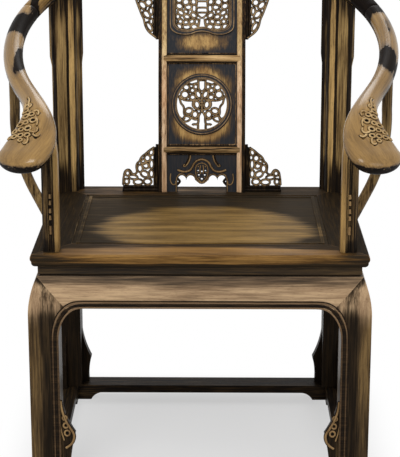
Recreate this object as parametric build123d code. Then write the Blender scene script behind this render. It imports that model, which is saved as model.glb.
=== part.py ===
from build123d import *
from math import acos, asin, cos, degrees, radians, sin, sqrt
import os

# Horseshoe back armchair. Millimetres. The origin is on the floor under the middle
# of the seat, +Z is up and the sitter faces -Y.

# ---------------------------------------------------------------- driving sizes
# Seat
seat_width = 660.0
seat_depth = 520.0
seat_height = 500.0
seat_rail_wide = 75.0
seat_rail_thick = 27.0
seat_edge_undercut = 13.0
seat_edge_top_round = 3.0
seat_edge_belly_drop = 15.0
seat_panel_thick = 13.0
seat_panel_drop = 2.0
panel_bead_wide = 6.0
panel_bead_inset = 8.0
panel_tongue_thick = 7.0
panel_tongue_deep = 7.0
panel_tongue_rise = 2.0
batten_wide = 32.0
batten_thick = 15.0
batten_spacing = 230.0
batten_tenon_long = 14.0
batten_tenon_thick = 7.0
batten_tenon_drop = 1.5

# Waist and apron
waist_height = 20.0
waist_thick = 12.0
waist_setback = 13.5
waist_groove_high = 4.0
waist_groove_deep = 4.0
apron_height = 61.0
apron_thick = 22.0
apron_top_setback = 11.0
apron_belly_height = 78.0
leg_outset = 6.0
opening_round_wide = 45.0
opening_round_high = 66.0
mitre_run = 84.0
mitre_fall = 90.0

# Legs
leg_square = 59.0
leg_tenon_square = 18.0
leg_tenon_up = 32.0
leg_tenon_down = 9.0
back_flare_top = 165.0
back_flare_cusp = 95.0
back_flare_out = 21.0
front_flare_top = 199.0
front_flare_cusp = 124.0
front_flare_out = 28.0
foot_flare_heel = 15.0
foot_flare_thick = 20.0
foot_flare_setback = 6.0
foot_eye_radius = 4.5

# Base frame
base_rail_wide = 50.0
base_rail_thick = 18.0
base_foot_high = 17.0
base_foot_long = 80.0
base_foot_curve = 24.0

# Horseshoe rail
rail_thick = 39.0
rail_flats = 16
rail_radius = 381.0
rail_tilt = 22.8
rail_centre_above_seat = 368.0
rail_turn_forward = 24.0
crest_half_angle = 33.0
shoulder_angle = 38.0
scarf_lap_angle = 4.0
wedge_square = 7.0
wedge_long = 30.0
rail_tenon_deep = 0.8

# Grips: how far the broad end reaches beyond the seat, and its own size
grip_reach = 66.0
grip_end_height = 211.0
grip_end_side = 329.0
grip_neck_side = 308.0
grip_neck_reach = 5.0
grip_neck_height = 259.0
grip_end_way = (0.45, -0.70, -0.45)
grip_wide = 106.0
grip_thick = 40.0
grip_late_widening = 1.6
grip_tip_round = 38.0
grip_tip_thin = 0.3
grip_tip_turns = (25, 45, 62, 76)
grip_steps = 9

# Posts
post_side = 290.0
post_inset = 35.0
front_post_wide = 32.0
front_post_straight = 175.0
front_post_meets_grip = 0.42
rear_post_diameter = 32.0
rear_post_flats = 16
post_tenon_square = 14.0
post_tenon_long = 11.0
side_post_diameter = 21.0
side_post_flats = 12
side_post_foot_side = 305.0
side_post_forward = 54.0
side_post_splay = 26.5
side_post_knee_height = 74.0
side_post_belly_height = 245.0
side_post_tenon_square = 9.0

# Standing strips on the rear posts
strip_turn = 42.0
strip_thick = 12.0
strip_bite = 3.0
strip_shoulder_height = 308.0
outer_strip_wide = 36.0
outer_strip_low_wide = 31.0
inner_strip_wide = 20.0
inner_strip_low_wide = 16.5
strip_shoulder_fall = 22.0

# Splat
splat_wide = 192.0
splat_inset = 45.0
stile_wide = 18.0
stile_thick = 20.0
stile_tenon_long = 12.0
cross_rail_high = 15.0
cross_rail_thick = 18.0
lower_cross_height = 96.0
upper_cross_height = 293.0
cross_tenon_long = 6.0
cross_tenon_thick = 7.0
splat_panel_thick = 9.0
panel_groove_deep = 4.0
moulding_wide = 9.0
moulding_proud = 3.0
roundel_height = 195.0
roundel_opening_radius = 57.5
roundel_flats = 36
carving_thick = 7.0
carving_bar = 5.5
top_opening_half = 61.0
top_opening_low = 349.0
top_opening_high = 446.0
foot_arch_height = 38.0
foot_arch_half = 54.0
foot_pendant_height = 18.0
foot_pendant_half = 15.0
top_wave = 8.0

# Spandrels
spandrel_thick = 10.0
lower_spandrel_wide = 82.0
lower_spandrel_high = 106.0
upper_spandrel_low = 335.0
upper_spandrel_wide = 70.0
upper_spandrel_turn = 16.0
hole_sides = 6

# Clearances
joint_gap = 0.3

# ---------------------------------------------------------------- derived sizes
half_width = seat_width / 2
half_depth = seat_depth / 2
seat_bottom = seat_height - seat_rail_thick
apron_top = seat_bottom - waist_height
apron_bottom = apron_top - apron_height
base_top = base_foot_high + base_rail_thick
leg_out_x = half_width + leg_outset
leg_out_y = half_depth + leg_outset
rail_centre_z = seat_height + rail_centre_above_seat
post_y = half_depth - post_inset
splat_foot_y = half_depth - splat_inset
cut_reach = 2000.0

pieces = {}


# ---------------------------------------------------------------- general helpers
def block(x_low, x_high, y_low, y_high, z_low, z_high):
    """A plain box between two corners."""
    size = (x_high - x_low, y_high - y_low, z_high - z_low)
    middle = ((x_low + x_high) / 2, (y_low + y_high) / 2, (z_low + z_high) / 2)
    return Pos(*middle) * Box(*size)


def front_prism(outline, y_low=-cut_reach, y_high=cut_reach):
    """A shape drawn as seen from the front (X across, Z up), run through in Y."""
    flat = Plane((0, y_high, 0), x_dir=(1, 0, 0), z_dir=(0, -1, 0)) * outline
    return extrude(flat, amount=y_high - y_low)


def side_prism(outline, x_low=-cut_reach, x_high=cut_reach):
    """A shape drawn in the Y-Z plane, run through in X."""
    flat = Plane((x_low, 0, 0), x_dir=(0, 1, 0), z_dir=(1, 0, 0)) * outline
    return extrude(flat, amount=x_high - x_low)


def mitre_prism(run_half, out_half, deep, z_low, z_high):
    """The plan wedge that a front member keeps when its ends are cut at 45 degrees."""
    over = 20.0
    corners = [
        (-run_half - over, -out_half - over),
        (run_half + over, -out_half - over),
        (run_half - deep, -out_half + deep),
        (-run_half + deep, -out_half + deep),
    ]
    plan = Pos(0, 0, z_low) * make_face(Polyline(*corners, close=True))
    return extrude(plan, amount=z_high - z_low, dir=(0, 0, 1))


def mitred_rail(section, run_half, out_half, deep, z_low, z_high):
    """A front member of the given Y-Z section with both ends mitred."""
    bar = side_prism(section, -run_half, run_half)
    return bar & mitre_prism(run_half, out_half, deep, z_low - 1, z_high + 1)


def four_sides(name, make):
    """Builds the front member and its three partners from one recipe.

    make(run_half, out_half) draws a member that runs along X at the front.
    """
    long_member = make(half_width, half_depth)
    short_member = make(half_depth, half_width)
    return {
        name + "_front": long_member,
        name + "_back": Rot(0, 0, 180) * long_member,
        name + "_right": Rot(0, 0, 90) * short_member,
        name + "_left": Rot(0, 0, -90) * short_member,
    }


def one_body(shape):
    """The largest solid of a cut shape, without the crumbs beside it."""
    return max(shape.solids(), key=lambda solid: solid.volume)


def both_sides(name, right_shape):
    """Keeps a right-hand piece and its mirrored left-hand partner."""
    pieces[name + "_right"] = right_shape
    pieces[name + "_left"] = mirror(right_shape, about=Plane.YZ)


# ---------------------------------------------------------------- seat
def seat_section(out_half):
    """Section of a seat rail: flat top, full edge, undercut below."""
    edge = -out_half
    belly = seat_height - seat_edge_belly_drop
    belly_middle = seat_height - 0.5 * seat_edge_belly_drop
    under_middle = (belly + seat_bottom) / 2 - 0.12 * seat_rail_thick
    outline = [
        Line((edge + seat_rail_wide, seat_height), (edge + seat_edge_top_round, seat_height)),
        ThreePointArc(
            (edge + seat_edge_top_round, seat_height),
            (edge, belly_middle),
            (edge + 0.8 * seat_edge_top_round, belly),
        ),
        ThreePointArc(
            (edge + 0.8 * seat_edge_top_round, belly),
            (edge + 0.45 * seat_edge_undercut, under_middle),
            (edge + seat_edge_undercut, seat_bottom),
        ),
        Line((edge + seat_edge_undercut, seat_bottom), (edge + seat_rail_wide, seat_bottom)),
        Line((edge + seat_rail_wide, seat_bottom), (edge + seat_rail_wide, seat_height)),
    ]
    return make_face(outline)


def seat_rail(run_half, out_half):
    """One mitred member of the seat frame."""
    return mitred_rail(
        seat_section(out_half), run_half, out_half, seat_rail_wide, seat_bottom, seat_height
    )


panel_half_x = half_width - seat_rail_wide
panel_half_y = half_depth - seat_rail_wide
panel_top = seat_height - seat_panel_drop
panel_bottom = panel_top - seat_panel_thick
tongue_low = panel_bottom + panel_tongue_rise


def seat_panel_solid(gap):
    """The floating panel; gap shrinks it for the panel and grows it for its groove."""
    body = block(
        -panel_half_x - gap, panel_half_x + gap, -panel_half_y - gap, panel_half_y + gap,
        panel_bottom, panel_top,
    )
    reach = panel_tongue_deep
    tongue = block(
        -panel_half_x - reach - gap, panel_half_x + reach + gap,
        -panel_half_y - reach - gap, panel_half_y + reach + gap,
        tongue_low - max(gap, 0), tongue_low + panel_tongue_thick + max(gap, 0),
    )
    return body + tongue


seat_rails = four_sides("seat_rail", seat_rail)
panel = seat_panel_solid(-joint_gap)
bead_outer = Rectangle(
    2 * (panel_half_x - panel_bead_inset), 2 * (panel_half_y - panel_bead_inset)
)
bead_inner = Rectangle(
    2 * (panel_half_x - panel_bead_inset - panel_bead_wide),
    2 * (panel_half_y - panel_bead_inset - panel_bead_wide),
)
bead = extrude(Pos(0, 0, panel_top) * (bead_outer - bead_inner), amount=seat_panel_drop)
pieces["seat_panel"] = panel + bead

panel_groove = seat_panel_solid(joint_gap)
batten_half = panel_half_y + batten_tenon_long
battens = []
batten_mortises = []
for side in (-1, 1):
    middle = side * batten_spacing / 2
    tenon_low = panel_bottom - batten_tenon_thick - batten_tenon_drop
    for gap, store in ((0, battens), (joint_gap, batten_mortises)):
        tenon = block(
            middle - 0.4 * batten_wide - gap, middle + 0.4 * batten_wide + gap,
            -batten_half - gap, batten_half + gap,
            tenon_low - gap, tenon_low + batten_tenon_thick + gap,
        )
        store.append(tenon)
    body = block(
        middle - batten_wide / 2, middle + batten_wide / 2,
        -panel_half_y + joint_gap, panel_half_y - joint_gap,
        panel_bottom - batten_thick, panel_bottom,
    )
    battens[-1] = battens[-1] + body
for order, batten in enumerate(battens, start=1):
    pieces[f"seat_batten_{order}"] = batten


# ---------------------------------------------------------------- waist and apron
def waist_rail(run_half, out_half):
    """A recessed strip with a groove along its foot."""
    run = run_half - waist_setback
    face = -out_half + waist_setback
    corners = [
        (face, seat_bottom),
        (face + waist_thick, seat_bottom),
        (face + waist_thick, apron_top),
        (face + waist_groove_deep, apron_top),
        (face + waist_groove_deep, apron_top + waist_groove_high),
        (face, apron_top + waist_groove_high),
    ]
    section = make_face(Polyline(*corners, close=True))
    return mitred_rail(section, run, -face, waist_thick + 5, apron_top, seat_bottom)


def belly_face(out_top, out_low, z_low):
    """Front view of the bulging body: wide below, drawn in towards the waist."""
    belly_z = apron_top - apron_belly_height
    half = [
        Line((0, apron_top), (out_top, apron_top)),
        TangentArc((out_low, belly_z), (out_top, apron_top), tangent=(0, 1)),
        Line((out_low, belly_z), (out_low, z_low)),
        Line((out_low, z_low), (0, z_low)),
        Line((0, z_low), (0, apron_top)),
    ]
    right = make_face(half)
    return right + mirror(right, about=Plane.YZ)


def belly_body(run_half, out_half, shrink, z_low):
    """The bulging box that the aprons and legs are cut from."""
    top_in = apron_top_setback + shrink
    low_in = -leg_outset + shrink
    across = front_prism(belly_face(run_half - top_in, run_half - low_in, z_low))
    along = side_prism(belly_face(out_half - top_in, out_half - low_in, z_low))
    return across & along


def opening_face(run_half):
    """The open space between two legs, with its elliptical upper corners."""
    half = run_half + leg_outset - leg_square
    spring = apron_bottom - opening_round_high
    inner = half - opening_round_wide
    low = Pos(0, (spring - 50) / 2) * Rectangle(2 * half, spring + 50)
    high = Pos(0, (apron_bottom - 50) / 2) * Rectangle(2 * inner, apron_bottom + 50)
    rounds = [
        Pos(side * inner, spring) * Ellipse(opening_round_wide, opening_round_high)
        for side in (-1, 1)
    ]
    return low + high + rounds[0] + rounds[1]


def apron_mitre_face(run_half):
    """What the apron keeps of the front view: all above the two sloping mitres."""
    top = run_half - apron_top_setback
    rise = 1.0
    over = rise * mitre_run / mitre_fall
    corners = [
        (-top - over, apron_top + rise),
        (top + over, apron_top + rise),
        (top - mitre_run, apron_top - mitre_fall),
        (-top + mitre_run, apron_top - mitre_fall),
    ]
    return make_face(Polyline(*corners, close=True))


def curtain(run_half, out_half):
    """Apron and leg shoulders of one side in one plate, before the mitres part them."""
    z_low = apron_bottom - opening_round_high
    shell = belly_body(run_half, out_half, 0, z_low) - belly_body(
        run_half, out_half, apron_thick, z_low - 10
    )
    run = run_half + leg_outset
    out = out_half + leg_outset
    wedge = mitre_prism(run, out, leg_square, z_low - 1, apron_top + 1)
    return (shell & wedge) - front_prism(opening_face(run_half))


def apron(run_half, out_half):
    """The apron's share of that plate, above its two sloping mitres."""
    return curtain(run_half, out_half) & front_prism(apron_mitre_face(run_half))


pieces.update(four_sides("waist", waist_rail))
aprons = four_sides("apron", apron)
pieces.update(aprons)


# ---------------------------------------------------------------- legs
def flare_face(out_half, top, cusp_z, out):
    """The cusped bracket at the foot of a leg, seen from the front."""
    inner = out_half - leg_square
    cusp = (inner - out, cusp_z)
    neck = (inner - 0.38 * out, 0.45 * top + 0.55 * cusp_z)
    heel = (inner - foot_flare_heel, base_top)
    belly = (inner - 0.5 * (out + foot_flare_heel) + 3, 0.45 * cusp_z + 0.55 * base_top)
    root = inner + 8
    outline = [
        Line((root, top), (inner, top)),
        ThreePointArc((inner, top), neck, cusp),
        ThreePointArc(cusp, belly, heel),
        Line(heel, (root, base_top)),
        Line((root, base_top), (root, top)),
    ]
    return make_face(outline)


def flare_eyes(out_half):
    """Three pierced eyes, each larger than the one above, in the scroll of a front foot."""
    inner = out_half - leg_square
    drop = (front_flare_top - front_flare_cusp) / 4.6
    eyes = Sketch()
    for order in range(3):
        x = inner - 0.28 * front_flare_out - 1.6 * order
        z = front_flare_cusp + drop * (2 - order) + 4
        eyes += Pos(x, z) * RegularPolygon(foot_eye_radius - 1 + 0.5 * order, hole_sides)
    return eyes


def leg_corner(pierced):
    """The front right leg: square post, curved shoulders, cusped foot and tenons."""
    reach = leg_square
    post = belly_body(half_width, half_depth, 0, base_top) & block(
        leg_out_x - reach, leg_out_x + 1, -leg_out_y - 1, -leg_out_y + reach,
        base_top, apron_top,
    )
    corner = block(
        leg_out_x - reach - opening_round_wide, leg_out_x + 1,
        -leg_out_y - 1, -leg_out_y + reach + opening_round_wide,
        base_top, apron_top,
    )
    front_shoulder = curtain(half_width, half_depth) & corner
    side_shoulder = (Rot(0, 0, 90) * curtain(half_depth, half_width)) & corner
    near = -leg_out_y + foot_flare_setback
    if pierced:
        shape = (front_flare_top, front_flare_cusp, front_flare_out)
    else:
        shape = (back_flare_top, back_flare_cusp, back_flare_out)
    front_flare = front_prism(flare_face(leg_out_x, *shape), near, near + foot_flare_thick)
    side_flare_y = side_prism(
        flare_face(leg_out_y, *shape),
        leg_out_x - foot_flare_setback - foot_flare_thick,
        leg_out_x - foot_flare_setback,
    )
    side_flare = mirror(side_flare_y, about=Plane.XZ)
    body = post + front_shoulder + side_shoulder + front_flare + side_flare
    if pierced:
        body -= front_prism(flare_eyes(leg_out_x), near - 1, near + foot_flare_thick + 1)
    body -= aprons["apron_front"]
    body -= aprons["apron_right"]
    return body + leg_tenon(0)


tenon_inset = apron_top_setback + apron_thick + joint_gap + leg_tenon_square / 2
tenon_x = half_width - tenon_inset
tenon_y = half_depth - tenon_inset


def leg_tenon(gap):
    """The long tenon into the seat and the stub into the base, front right corner."""
    half = leg_tenon_square / 2 + gap
    top = block(
        tenon_x - half, tenon_x + half, -tenon_y - half, -tenon_y + half,
        apron_top - 5, apron_top + leg_tenon_up + gap,
    )
    low_x = leg_out_x - leg_square / 2
    low_y = leg_out_y - leg_square / 2
    foot = block(
        low_x - half, low_x + half, -low_y - half, -low_y + half,
        base_top - leg_tenon_down - gap, base_top + 5,
    )
    return top + foot


corner_tenons = leg_tenon(joint_gap)
corner_tenons += mirror(corner_tenons, about=Plane.YZ)
corner_tenons += mirror(corner_tenons, about=Plane.XZ)

both_sides("leg_front", leg_corner(True))
both_sides("leg_back", mirror(leg_corner(False), about=Plane.XZ))


# ---------------------------------------------------------------- base frame
def base_rail(run_half, out_half):
    """One mitred member of the frame under the legs."""
    out = out_half + leg_outset
    run = run_half + leg_outset
    section = Pos(-out + base_rail_wide / 2, base_top - base_rail_thick / 2) * Rectangle(
        base_rail_wide, base_rail_thick
    )
    return mitred_rail(section, run, out, base_rail_wide, base_foot_high, base_top)


def base_foot_face(out_half):
    """A bracket foot: upright block with a hollow curve up to the frame."""
    inner = out_half - base_foot_long
    tip = inner - base_foot_curve
    outline = [
        Line((out_half, 0), (out_half, base_foot_high)),
        Line((out_half, base_foot_high), (tip, base_foot_high)),
        ThreePointArc(
            (tip, base_foot_high),
            (inner - 0.35 * base_foot_curve, 0.62 * base_foot_high),
            (inner, 0),
        ),
        Line((inner, 0), (out_half, 0)),
    ]
    return make_face(outline)


base_rails = four_sides("base_rail", base_rail)
for name, rail in base_rails.items():
    pieces[name] = rail - corner_tenons
front_arm = front_prism(base_foot_face(leg_out_x), -leg_out_y, -leg_out_y + base_rail_wide)
side_arm = mirror(
    side_prism(base_foot_face(leg_out_y), leg_out_x - base_rail_wide, leg_out_x),
    about=Plane.XZ,
)
base_foot = front_arm + side_arm
both_sides("base_foot_front", base_foot)
both_sides("base_foot_back", mirror(base_foot, about=Plane.XZ))


# ---------------------------------------------------------------- horseshoe rail
rail_plane = Plane(
    origin=(0, 0, rail_centre_z),
    x_dir=(1, 0, 0),
    z_dir=(0, -sin(radians(rail_tilt)), cos(radians(rail_tilt))),
)


def ring_point(angle):
    """A point on the rail's centreline; 0 is at the right, 90 at the back."""
    local = Vector(rail_radius * cos(radians(angle)), rail_radius * sin(radians(angle)), 0)
    return rail_plane.from_local_coords(local)


def ring_direction(angle):
    """The way the centreline runs towards the grip at that angle."""
    local = Vector(sin(radians(angle)), -cos(radians(angle)), 0)
    return (rail_plane.from_local_coords(local) - rail_plane.origin).normalized()


def ring_length(start, stop, section):
    """A length of the ring with the given section, from one angle to another."""
    upright = Plane.XZ * (Pos(rail_radius, 0) * section)
    length = revolve(Rot(0, 0, start) * upright, axis=Axis.Z, revolution_arc=stop - start)
    return rail_plane.location * length


def half_disc(upper):
    """Upper or lower half of the rail's round section."""
    shift = rail_thick / 2 if upper else -rail_thick / 2
    half = Pos(0, shift) * Rectangle(2 * rail_thick, rail_thick)
    return RegularPolygon(rail_thick / 2, rail_flats) & half


def wedge_at(angle):
    """The square pin through a scarf joint, driven square to the plane of the rail."""
    pin = Pos(rail_radius, 0, 0) * Box(wedge_square, wedge_square, wedge_long)
    return rail_plane.location * (Rot(0, 0, angle) * pin)


crest_end = 90 - crest_half_angle
shoulder_end = crest_end - shoulder_angle
lap = scarf_lap_angle / 2


def lapped_length(low_angle, high_angle, low_lap, high_lap):
    """A ring length whose ends lap: the upper and lower halves end at other angles."""
    upper = ring_length(low_angle - low_lap, high_angle + high_lap, half_disc(True))
    lower = ring_length(low_angle + low_lap, high_angle - high_lap, half_disc(False))
    return upper + lower


crest = lapped_length(crest_end, 180 - crest_end, lap, lap)
shoulder = lapped_length(shoulder_end, crest_end, lap, -lap)
arm_ring = lapped_length(-rail_turn_forward, shoulder_end, 0, -lap)


# ---------------------------------------------------------------- grips
def oval(wide, thick):
    """An oval of as many flats as the rail has, with a corner at each end."""
    turns = [radians(360 * order / rail_flats) for order in range(rail_flats)]
    corners = [(wide / 2 * cos(turn), thick / 2 * sin(turn)) for turn in turns]
    return make_face(Polyline(*corners, close=True))


def grip_section(part, centre, direction, wide, thick):
    """An oval section square to the way the grip runs.

    It starts as the ring's own section and its long side turns level by the end.
    """
    level = Vector(0, 0, 1).cross(direction).normalized()
    across = ring_side * (1 - part) + level * part
    plane = Plane(origin=centre, x_dir=across, z_dir=direction)
    return plane * oval(wide, thick)


ring_end = ring_point(-rail_turn_forward)
ring_way = ring_direction(-rail_turn_forward)
ring_side = (ring_end - rail_plane.origin).normalized()
grip_end = Vector(grip_end_side, -half_depth - grip_reach, seat_height + grip_end_height)
grip_neck = Vector(grip_neck_side, -half_depth - grip_neck_reach, seat_height + grip_neck_height)
grip_line = Spline(
    [ring_end, grip_neck, grip_end],
    tangents=[ring_way, Vector(*grip_end_way)],
)
grip_sections = []
for step in range(grip_steps + 1):
    part = step / grip_steps
    spread = (1 - cos(radians(180 * part**grip_late_widening))) / 2
    wide = rail_thick + spread * (grip_wide - rail_thick)
    thick = rail_thick + spread * (grip_thick - rail_thick)
    centre = grip_line @ part
    grip_sections.append(grip_section(part, centre, grip_line % part, wide, thick))
tip_way = grip_line % 1.0
tip_start = grip_line @ 1.0
for turn in grip_tip_turns:
    shrink = cos(radians(turn))
    centre = tip_start + tip_way * (grip_tip_round * sin(radians(turn)))
    tip_thick = grip_thick * (grip_tip_thin + (1 - grip_tip_thin) * shrink)
    grip_sections.append(grip_section(1, centre, tip_way, grip_wide * shrink, tip_thick))
grip = loft(Sketch() + grip_sections, ruled=True)
arm = arm_ring + grip

# ---------------------------------------------------------------- posts
def bar_along(path, section):
    """A bar of constant section along straight and round lengths joined end to end."""
    body = Part()
    for length in path:
        start = length @ 0
        way = length % 0
        face = Plane(origin=start, x_dir=(1, 0, 0), z_dir=way) * section
        chord = (length @ 1) - start
        if length.geom_type == GeomType.LINE:
            body += extrude(face, amount=chord.length)
        else:
            turn = 2 * degrees(acos(way.dot(chord.normalized())))
            axis = Axis(length.arc_center, way.cross(chord))
            body += revolve(face, axis=axis, revolution_arc=turn)
    return body


def seat_tenon(x, y, square, gap):
    """A square tenon from the seat top down into the seat frame."""
    half = square / 2 + gap
    low = seat_height - post_tenon_long - gap
    return block(x - half, x + half, y - half, y + half, low, seat_height + joint_gap)


# Front posts: moulded bars that lean outward to meet the arm
def front_post_section():
    """Square bar with eased corners, a channel and a reed down its front face."""
    wide = front_post_wide
    bar = chamfer(Rectangle(wide, wide).vertices(), 0.14 * wide)
    channel = Pos(0.02 * wide, -0.5 * wide) * Rectangle(0.22 * wide, 0.24 * wide)
    quirk = Pos(-0.2 * wide, -0.5 * wide) * Rectangle(0.06 * wide, 0.16 * wide)
    return bar - channel - quirk


front_top = grip_line @ front_post_meets_grip
front_foot = Vector(post_side, -post_y, seat_height)
front_knee = front_foot + Vector(0, 0, front_post_straight)
front_crown = Vector(front_top.X, front_top.Y, front_top.Z + 0.1 * rail_thick)
front_path = [
    Line(front_foot, front_knee),
    TangentArc(front_knee, front_crown, tangent=(0, 0, 1)),
]
front_bar = bar_along(front_path, front_post_section())

rear_foot = Vector(post_side, post_y, seat_height)
rear_angle = degrees(acos(post_side / rail_radius))
rear_top = ring_point(rear_angle)
rear_way = (rear_top - rear_foot).normalized()
rear_section = RegularPolygon(rear_post_diameter / 2, rear_post_flats)
rear_bar = bar_along([Line(rear_foot - rear_way * 5, rear_top)], rear_section)

side_y = -side_post_forward
side_angle = degrees(asin(side_y / (rail_radius * cos(radians(rail_tilt)))))
side_top = ring_point(side_angle)
side_foot = Vector(side_post_foot_side, side_y, seat_height)
side_way = Vector(sin(radians(side_post_splay)), 0, cos(radians(side_post_splay)))
side_knee = side_foot + side_way * (side_post_knee_height / side_way.Z)
side_belly = Vector(side_top.X, side_y, seat_height + side_post_belly_height)
side_path = [
    Line(side_foot - side_way * 8, side_knee),
    TangentArc(side_knee, side_belly, tangent=side_way),
    Line(side_belly, side_top),
]
side_bar = bar_along(side_path, RegularPolygon(side_post_diameter / 2, side_post_flats))


def rail_tenon(top, way, square, gap):
    """A square tenon that runs from under the rail up into it."""
    long = rail_tenon_deep * rail_thick + gap
    plane = Plane(top + way * (gap + 2), x_dir=(1, 0, 0), z_dir=way * -1)
    side = square + 2 * gap
    return extrude(plane * Rectangle(side, side), amount=long)


def finish_post(bar, top, way, foot, tenon_square):
    """Cuts a post to the rail and the seat and gives it a tenon at both ends."""
    reach = 2 * rear_post_diameter
    below = block(
        foot.X - reach, foot.X + reach, foot.Y - reach, foot.Y + reach, 0, seat_height
    )
    body = one_body(bar - arm - shoulder - below)
    body += rail_tenon(top, way, tenon_square, 0)
    return body + seat_tenon(foot.X, foot.Y, tenon_square, 0)


up = Vector(0, 0, 1)
front_post = finish_post(front_bar, front_crown, up, front_foot, post_tenon_square)
rear_post = finish_post(rear_bar, rear_top, rear_way, rear_foot, post_tenon_square)
side_post = finish_post(side_bar, side_top, up, side_foot, side_post_tenon_square)
both_sides("front_post", front_post)
both_sides("rear_post", rear_post)
both_sides("side_post", side_post)

seat_mortises = corner_tenons
for foot, square in (
    (front_foot, post_tenon_square),
    (rear_foot, post_tenon_square),
    (side_foot, side_post_tenon_square),
):
    for side in (-1, 1):
        seat_mortises += seat_tenon(side * foot.X, foot.Y, square, joint_gap)

arm -= rail_tenon(front_crown, up, post_tenon_square, joint_gap)
arm -= rail_tenon(side_top, up, side_post_tenon_square, joint_gap)
shoulder -= rail_tenon(rear_top, rear_way, post_tenon_square, joint_gap)


# ---------------------------------------------------------------- strips on the rear posts
def standing_strip(wide, low_wide, outward):
    """A long strip beside a rear post, with a shoulder, up to the rail.

    outward is +1 for the strip on the outer side and -1 for the inner one.
    """
    inner = rear_post_diameter / 2 - strip_bite
    shoulder_z = seat_height + strip_shoulder_height
    corners = [
        (inner, seat_height),
        (inner + low_wide, seat_height),
        (inner + low_wide, shoulder_z - strip_shoulder_fall),
        (inner + wide, shoulder_z),
        (inner + wide, rear_top.Z + rail_thick),
        (inner, rear_top.Z + rail_thick),
    ]
    flat = make_face(Polyline(*corners, close=True))
    plate = front_prism(flat, -strip_thick / 2, strip_thick / 2)
    turn = -strip_turn if outward > 0 else 180 - strip_turn
    placed = Pos(post_side, post_y, 0) * Rot(0, 0, turn) * plate
    lean = Vector(0, rear_top.Y - post_y, 0) * ((shoulder_z - seat_height) / rear_top.Z)
    placed = placed.translate(lean * 0.5)
    trimmed = placed - rear_post - shoulder - arm
    return one_body(trimmed)


both_sides("rear_strip_outer", standing_strip(outer_strip_wide, outer_strip_low_wide, 1))
both_sides("rear_strip_inner", standing_strip(inner_strip_wide, inner_strip_low_wide, -1))

# ---------------------------------------------------------------- splat
stile_top_angle = degrees(acos((splat_wide - stile_wide) / 2 / rail_radius))
stile_top = ring_point(stile_top_angle)
splat_rise = stile_top.Z - seat_height
splat_lean = stile_top.Y - splat_foot_y
splat_bend_radius = (splat_rise**2 + splat_lean**2) / (2 * splat_lean)
bend_y = splat_foot_y + splat_bend_radius


def bent_slab(half_x, thick):
    """A slab bent like the splat, from the seat to the middle of the crest rail."""
    turn = degrees(asin(splat_rise / splat_bend_radius))
    section = Pos(0, splat_foot_y) * Rectangle(2 * half_x, thick)
    axis = Axis((0, bend_y, 0), (1, 0, 0))
    slab = revolve(section, axis=axis, revolution_arc=turn)
    return Pos(0, 0, seat_height) * slab.rotate(axis, -turn)


def splat_box(x_low, x_high, low, high):
    """A rectangle on the front view of the splat, run through in Y."""
    return block(x_low, x_high, 0, cut_reach, seat_height + low, seat_height + high)


stile_inner = splat_wide / 2 - stile_wide
stile_slab = bent_slab(splat_wide / 2, stile_thick)
panel_slab = bent_slab(splat_wide, splat_panel_thick)
groove_slab = bent_slab(
    stile_inner + panel_groove_deep + joint_gap, splat_panel_thick + 2 * joint_gap
)
rail_slab = bent_slab(splat_wide, cross_rail_thick)
tenon_slab = bent_slab(splat_wide, cross_tenon_thick)
tenon_hole_slab = bent_slab(splat_wide, cross_tenon_thick + 2 * joint_gap)
cross_rail_mortises = []


def cross_rail(height):
    """A cross rail between the stiles with a stub tenon at each end and panel grooves."""
    body = rail_slab & splat_box(
        -stile_inner, stile_inner, height - cross_rail_high / 2, height + cross_rail_high / 2
    )
    body -= groove_slab & splat_box(
        -splat_wide, splat_wide,
        height + cross_rail_high / 2 - panel_groove_deep - joint_gap, height + cross_rail_high,
    )
    body -= groove_slab & splat_box(
        -splat_wide, splat_wide,
        height - cross_rail_high, height - cross_rail_high / 2 + panel_groove_deep + joint_gap,
    )
    reach = stile_inner + cross_tenon_long
    thin = cross_rail_high - 2 * panel_groove_deep - 2 * joint_gap
    tenon = tenon_slab & splat_box(-reach, reach, height - thin / 2, height + thin / 2)
    hole = tenon_hole_slab & splat_box(
        -reach - joint_gap, reach + joint_gap,
        height - thin / 2 - joint_gap, height + thin / 2 + joint_gap,
    )
    cross_rail_mortises.append(hole)
    return body + tenon


pieces["splat_rail_lower"] = cross_rail(lower_cross_height)
pieces["splat_rail_upper"] = cross_rail(upper_cross_height)

stile = stile_slab & splat_box(stile_inner, splat_wide / 2, 0, splat_rise)
stile -= groove_slab
for hole in cross_rail_mortises:
    stile -= hole
stile -= crest
stile = one_body(stile)
stile_tenon_x = (stile_inner + panel_groove_deep + splat_wide / 2) / 2


def stile_tenon(gap):
    """The stub under a stile that stands in the back seat rail."""
    half_x = 0.35 * (stile_wide - panel_groove_deep) + gap
    half_y = 0.3 * stile_thick + gap
    return block(
        stile_tenon_x - half_x, stile_tenon_x + half_x,
        splat_foot_y - half_y, splat_foot_y + half_y,
        seat_height - stile_tenon_long - gap, seat_height + 1,
    )


both_sides("splat_stile", stile + stile_tenon(0))
for side_tenon in (stile_tenon(joint_gap), mirror(stile_tenon(joint_gap), about=Plane.YZ)):
    seat_mortises += side_tenon

panel_reach = stile_inner + panel_groove_deep
foot_high = lower_cross_height - cross_rail_high / 2 + panel_groove_deep
roundel_low = lower_cross_height + cross_rail_high / 2 - panel_groove_deep
roundel_high = upper_cross_height - cross_rail_high / 2 + panel_groove_deep
top_low = upper_cross_height + cross_rail_high / 2 - panel_groove_deep


def splat_plane(height):
    """The flat that touches the splat's middle line at a height above the seat.

    Its x runs across, its y up the splat, and it faces the sitter.
    """
    lean = asin(height / splat_bend_radius)
    back = splat_bend_radius * (1 - cos(lean))
    origin = (0, splat_foot_y + back, seat_height + height)
    return Plane(origin=origin, x_dir=(1, 0, 0), z_dir=(0, -cos(lean), sin(lean)))


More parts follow.
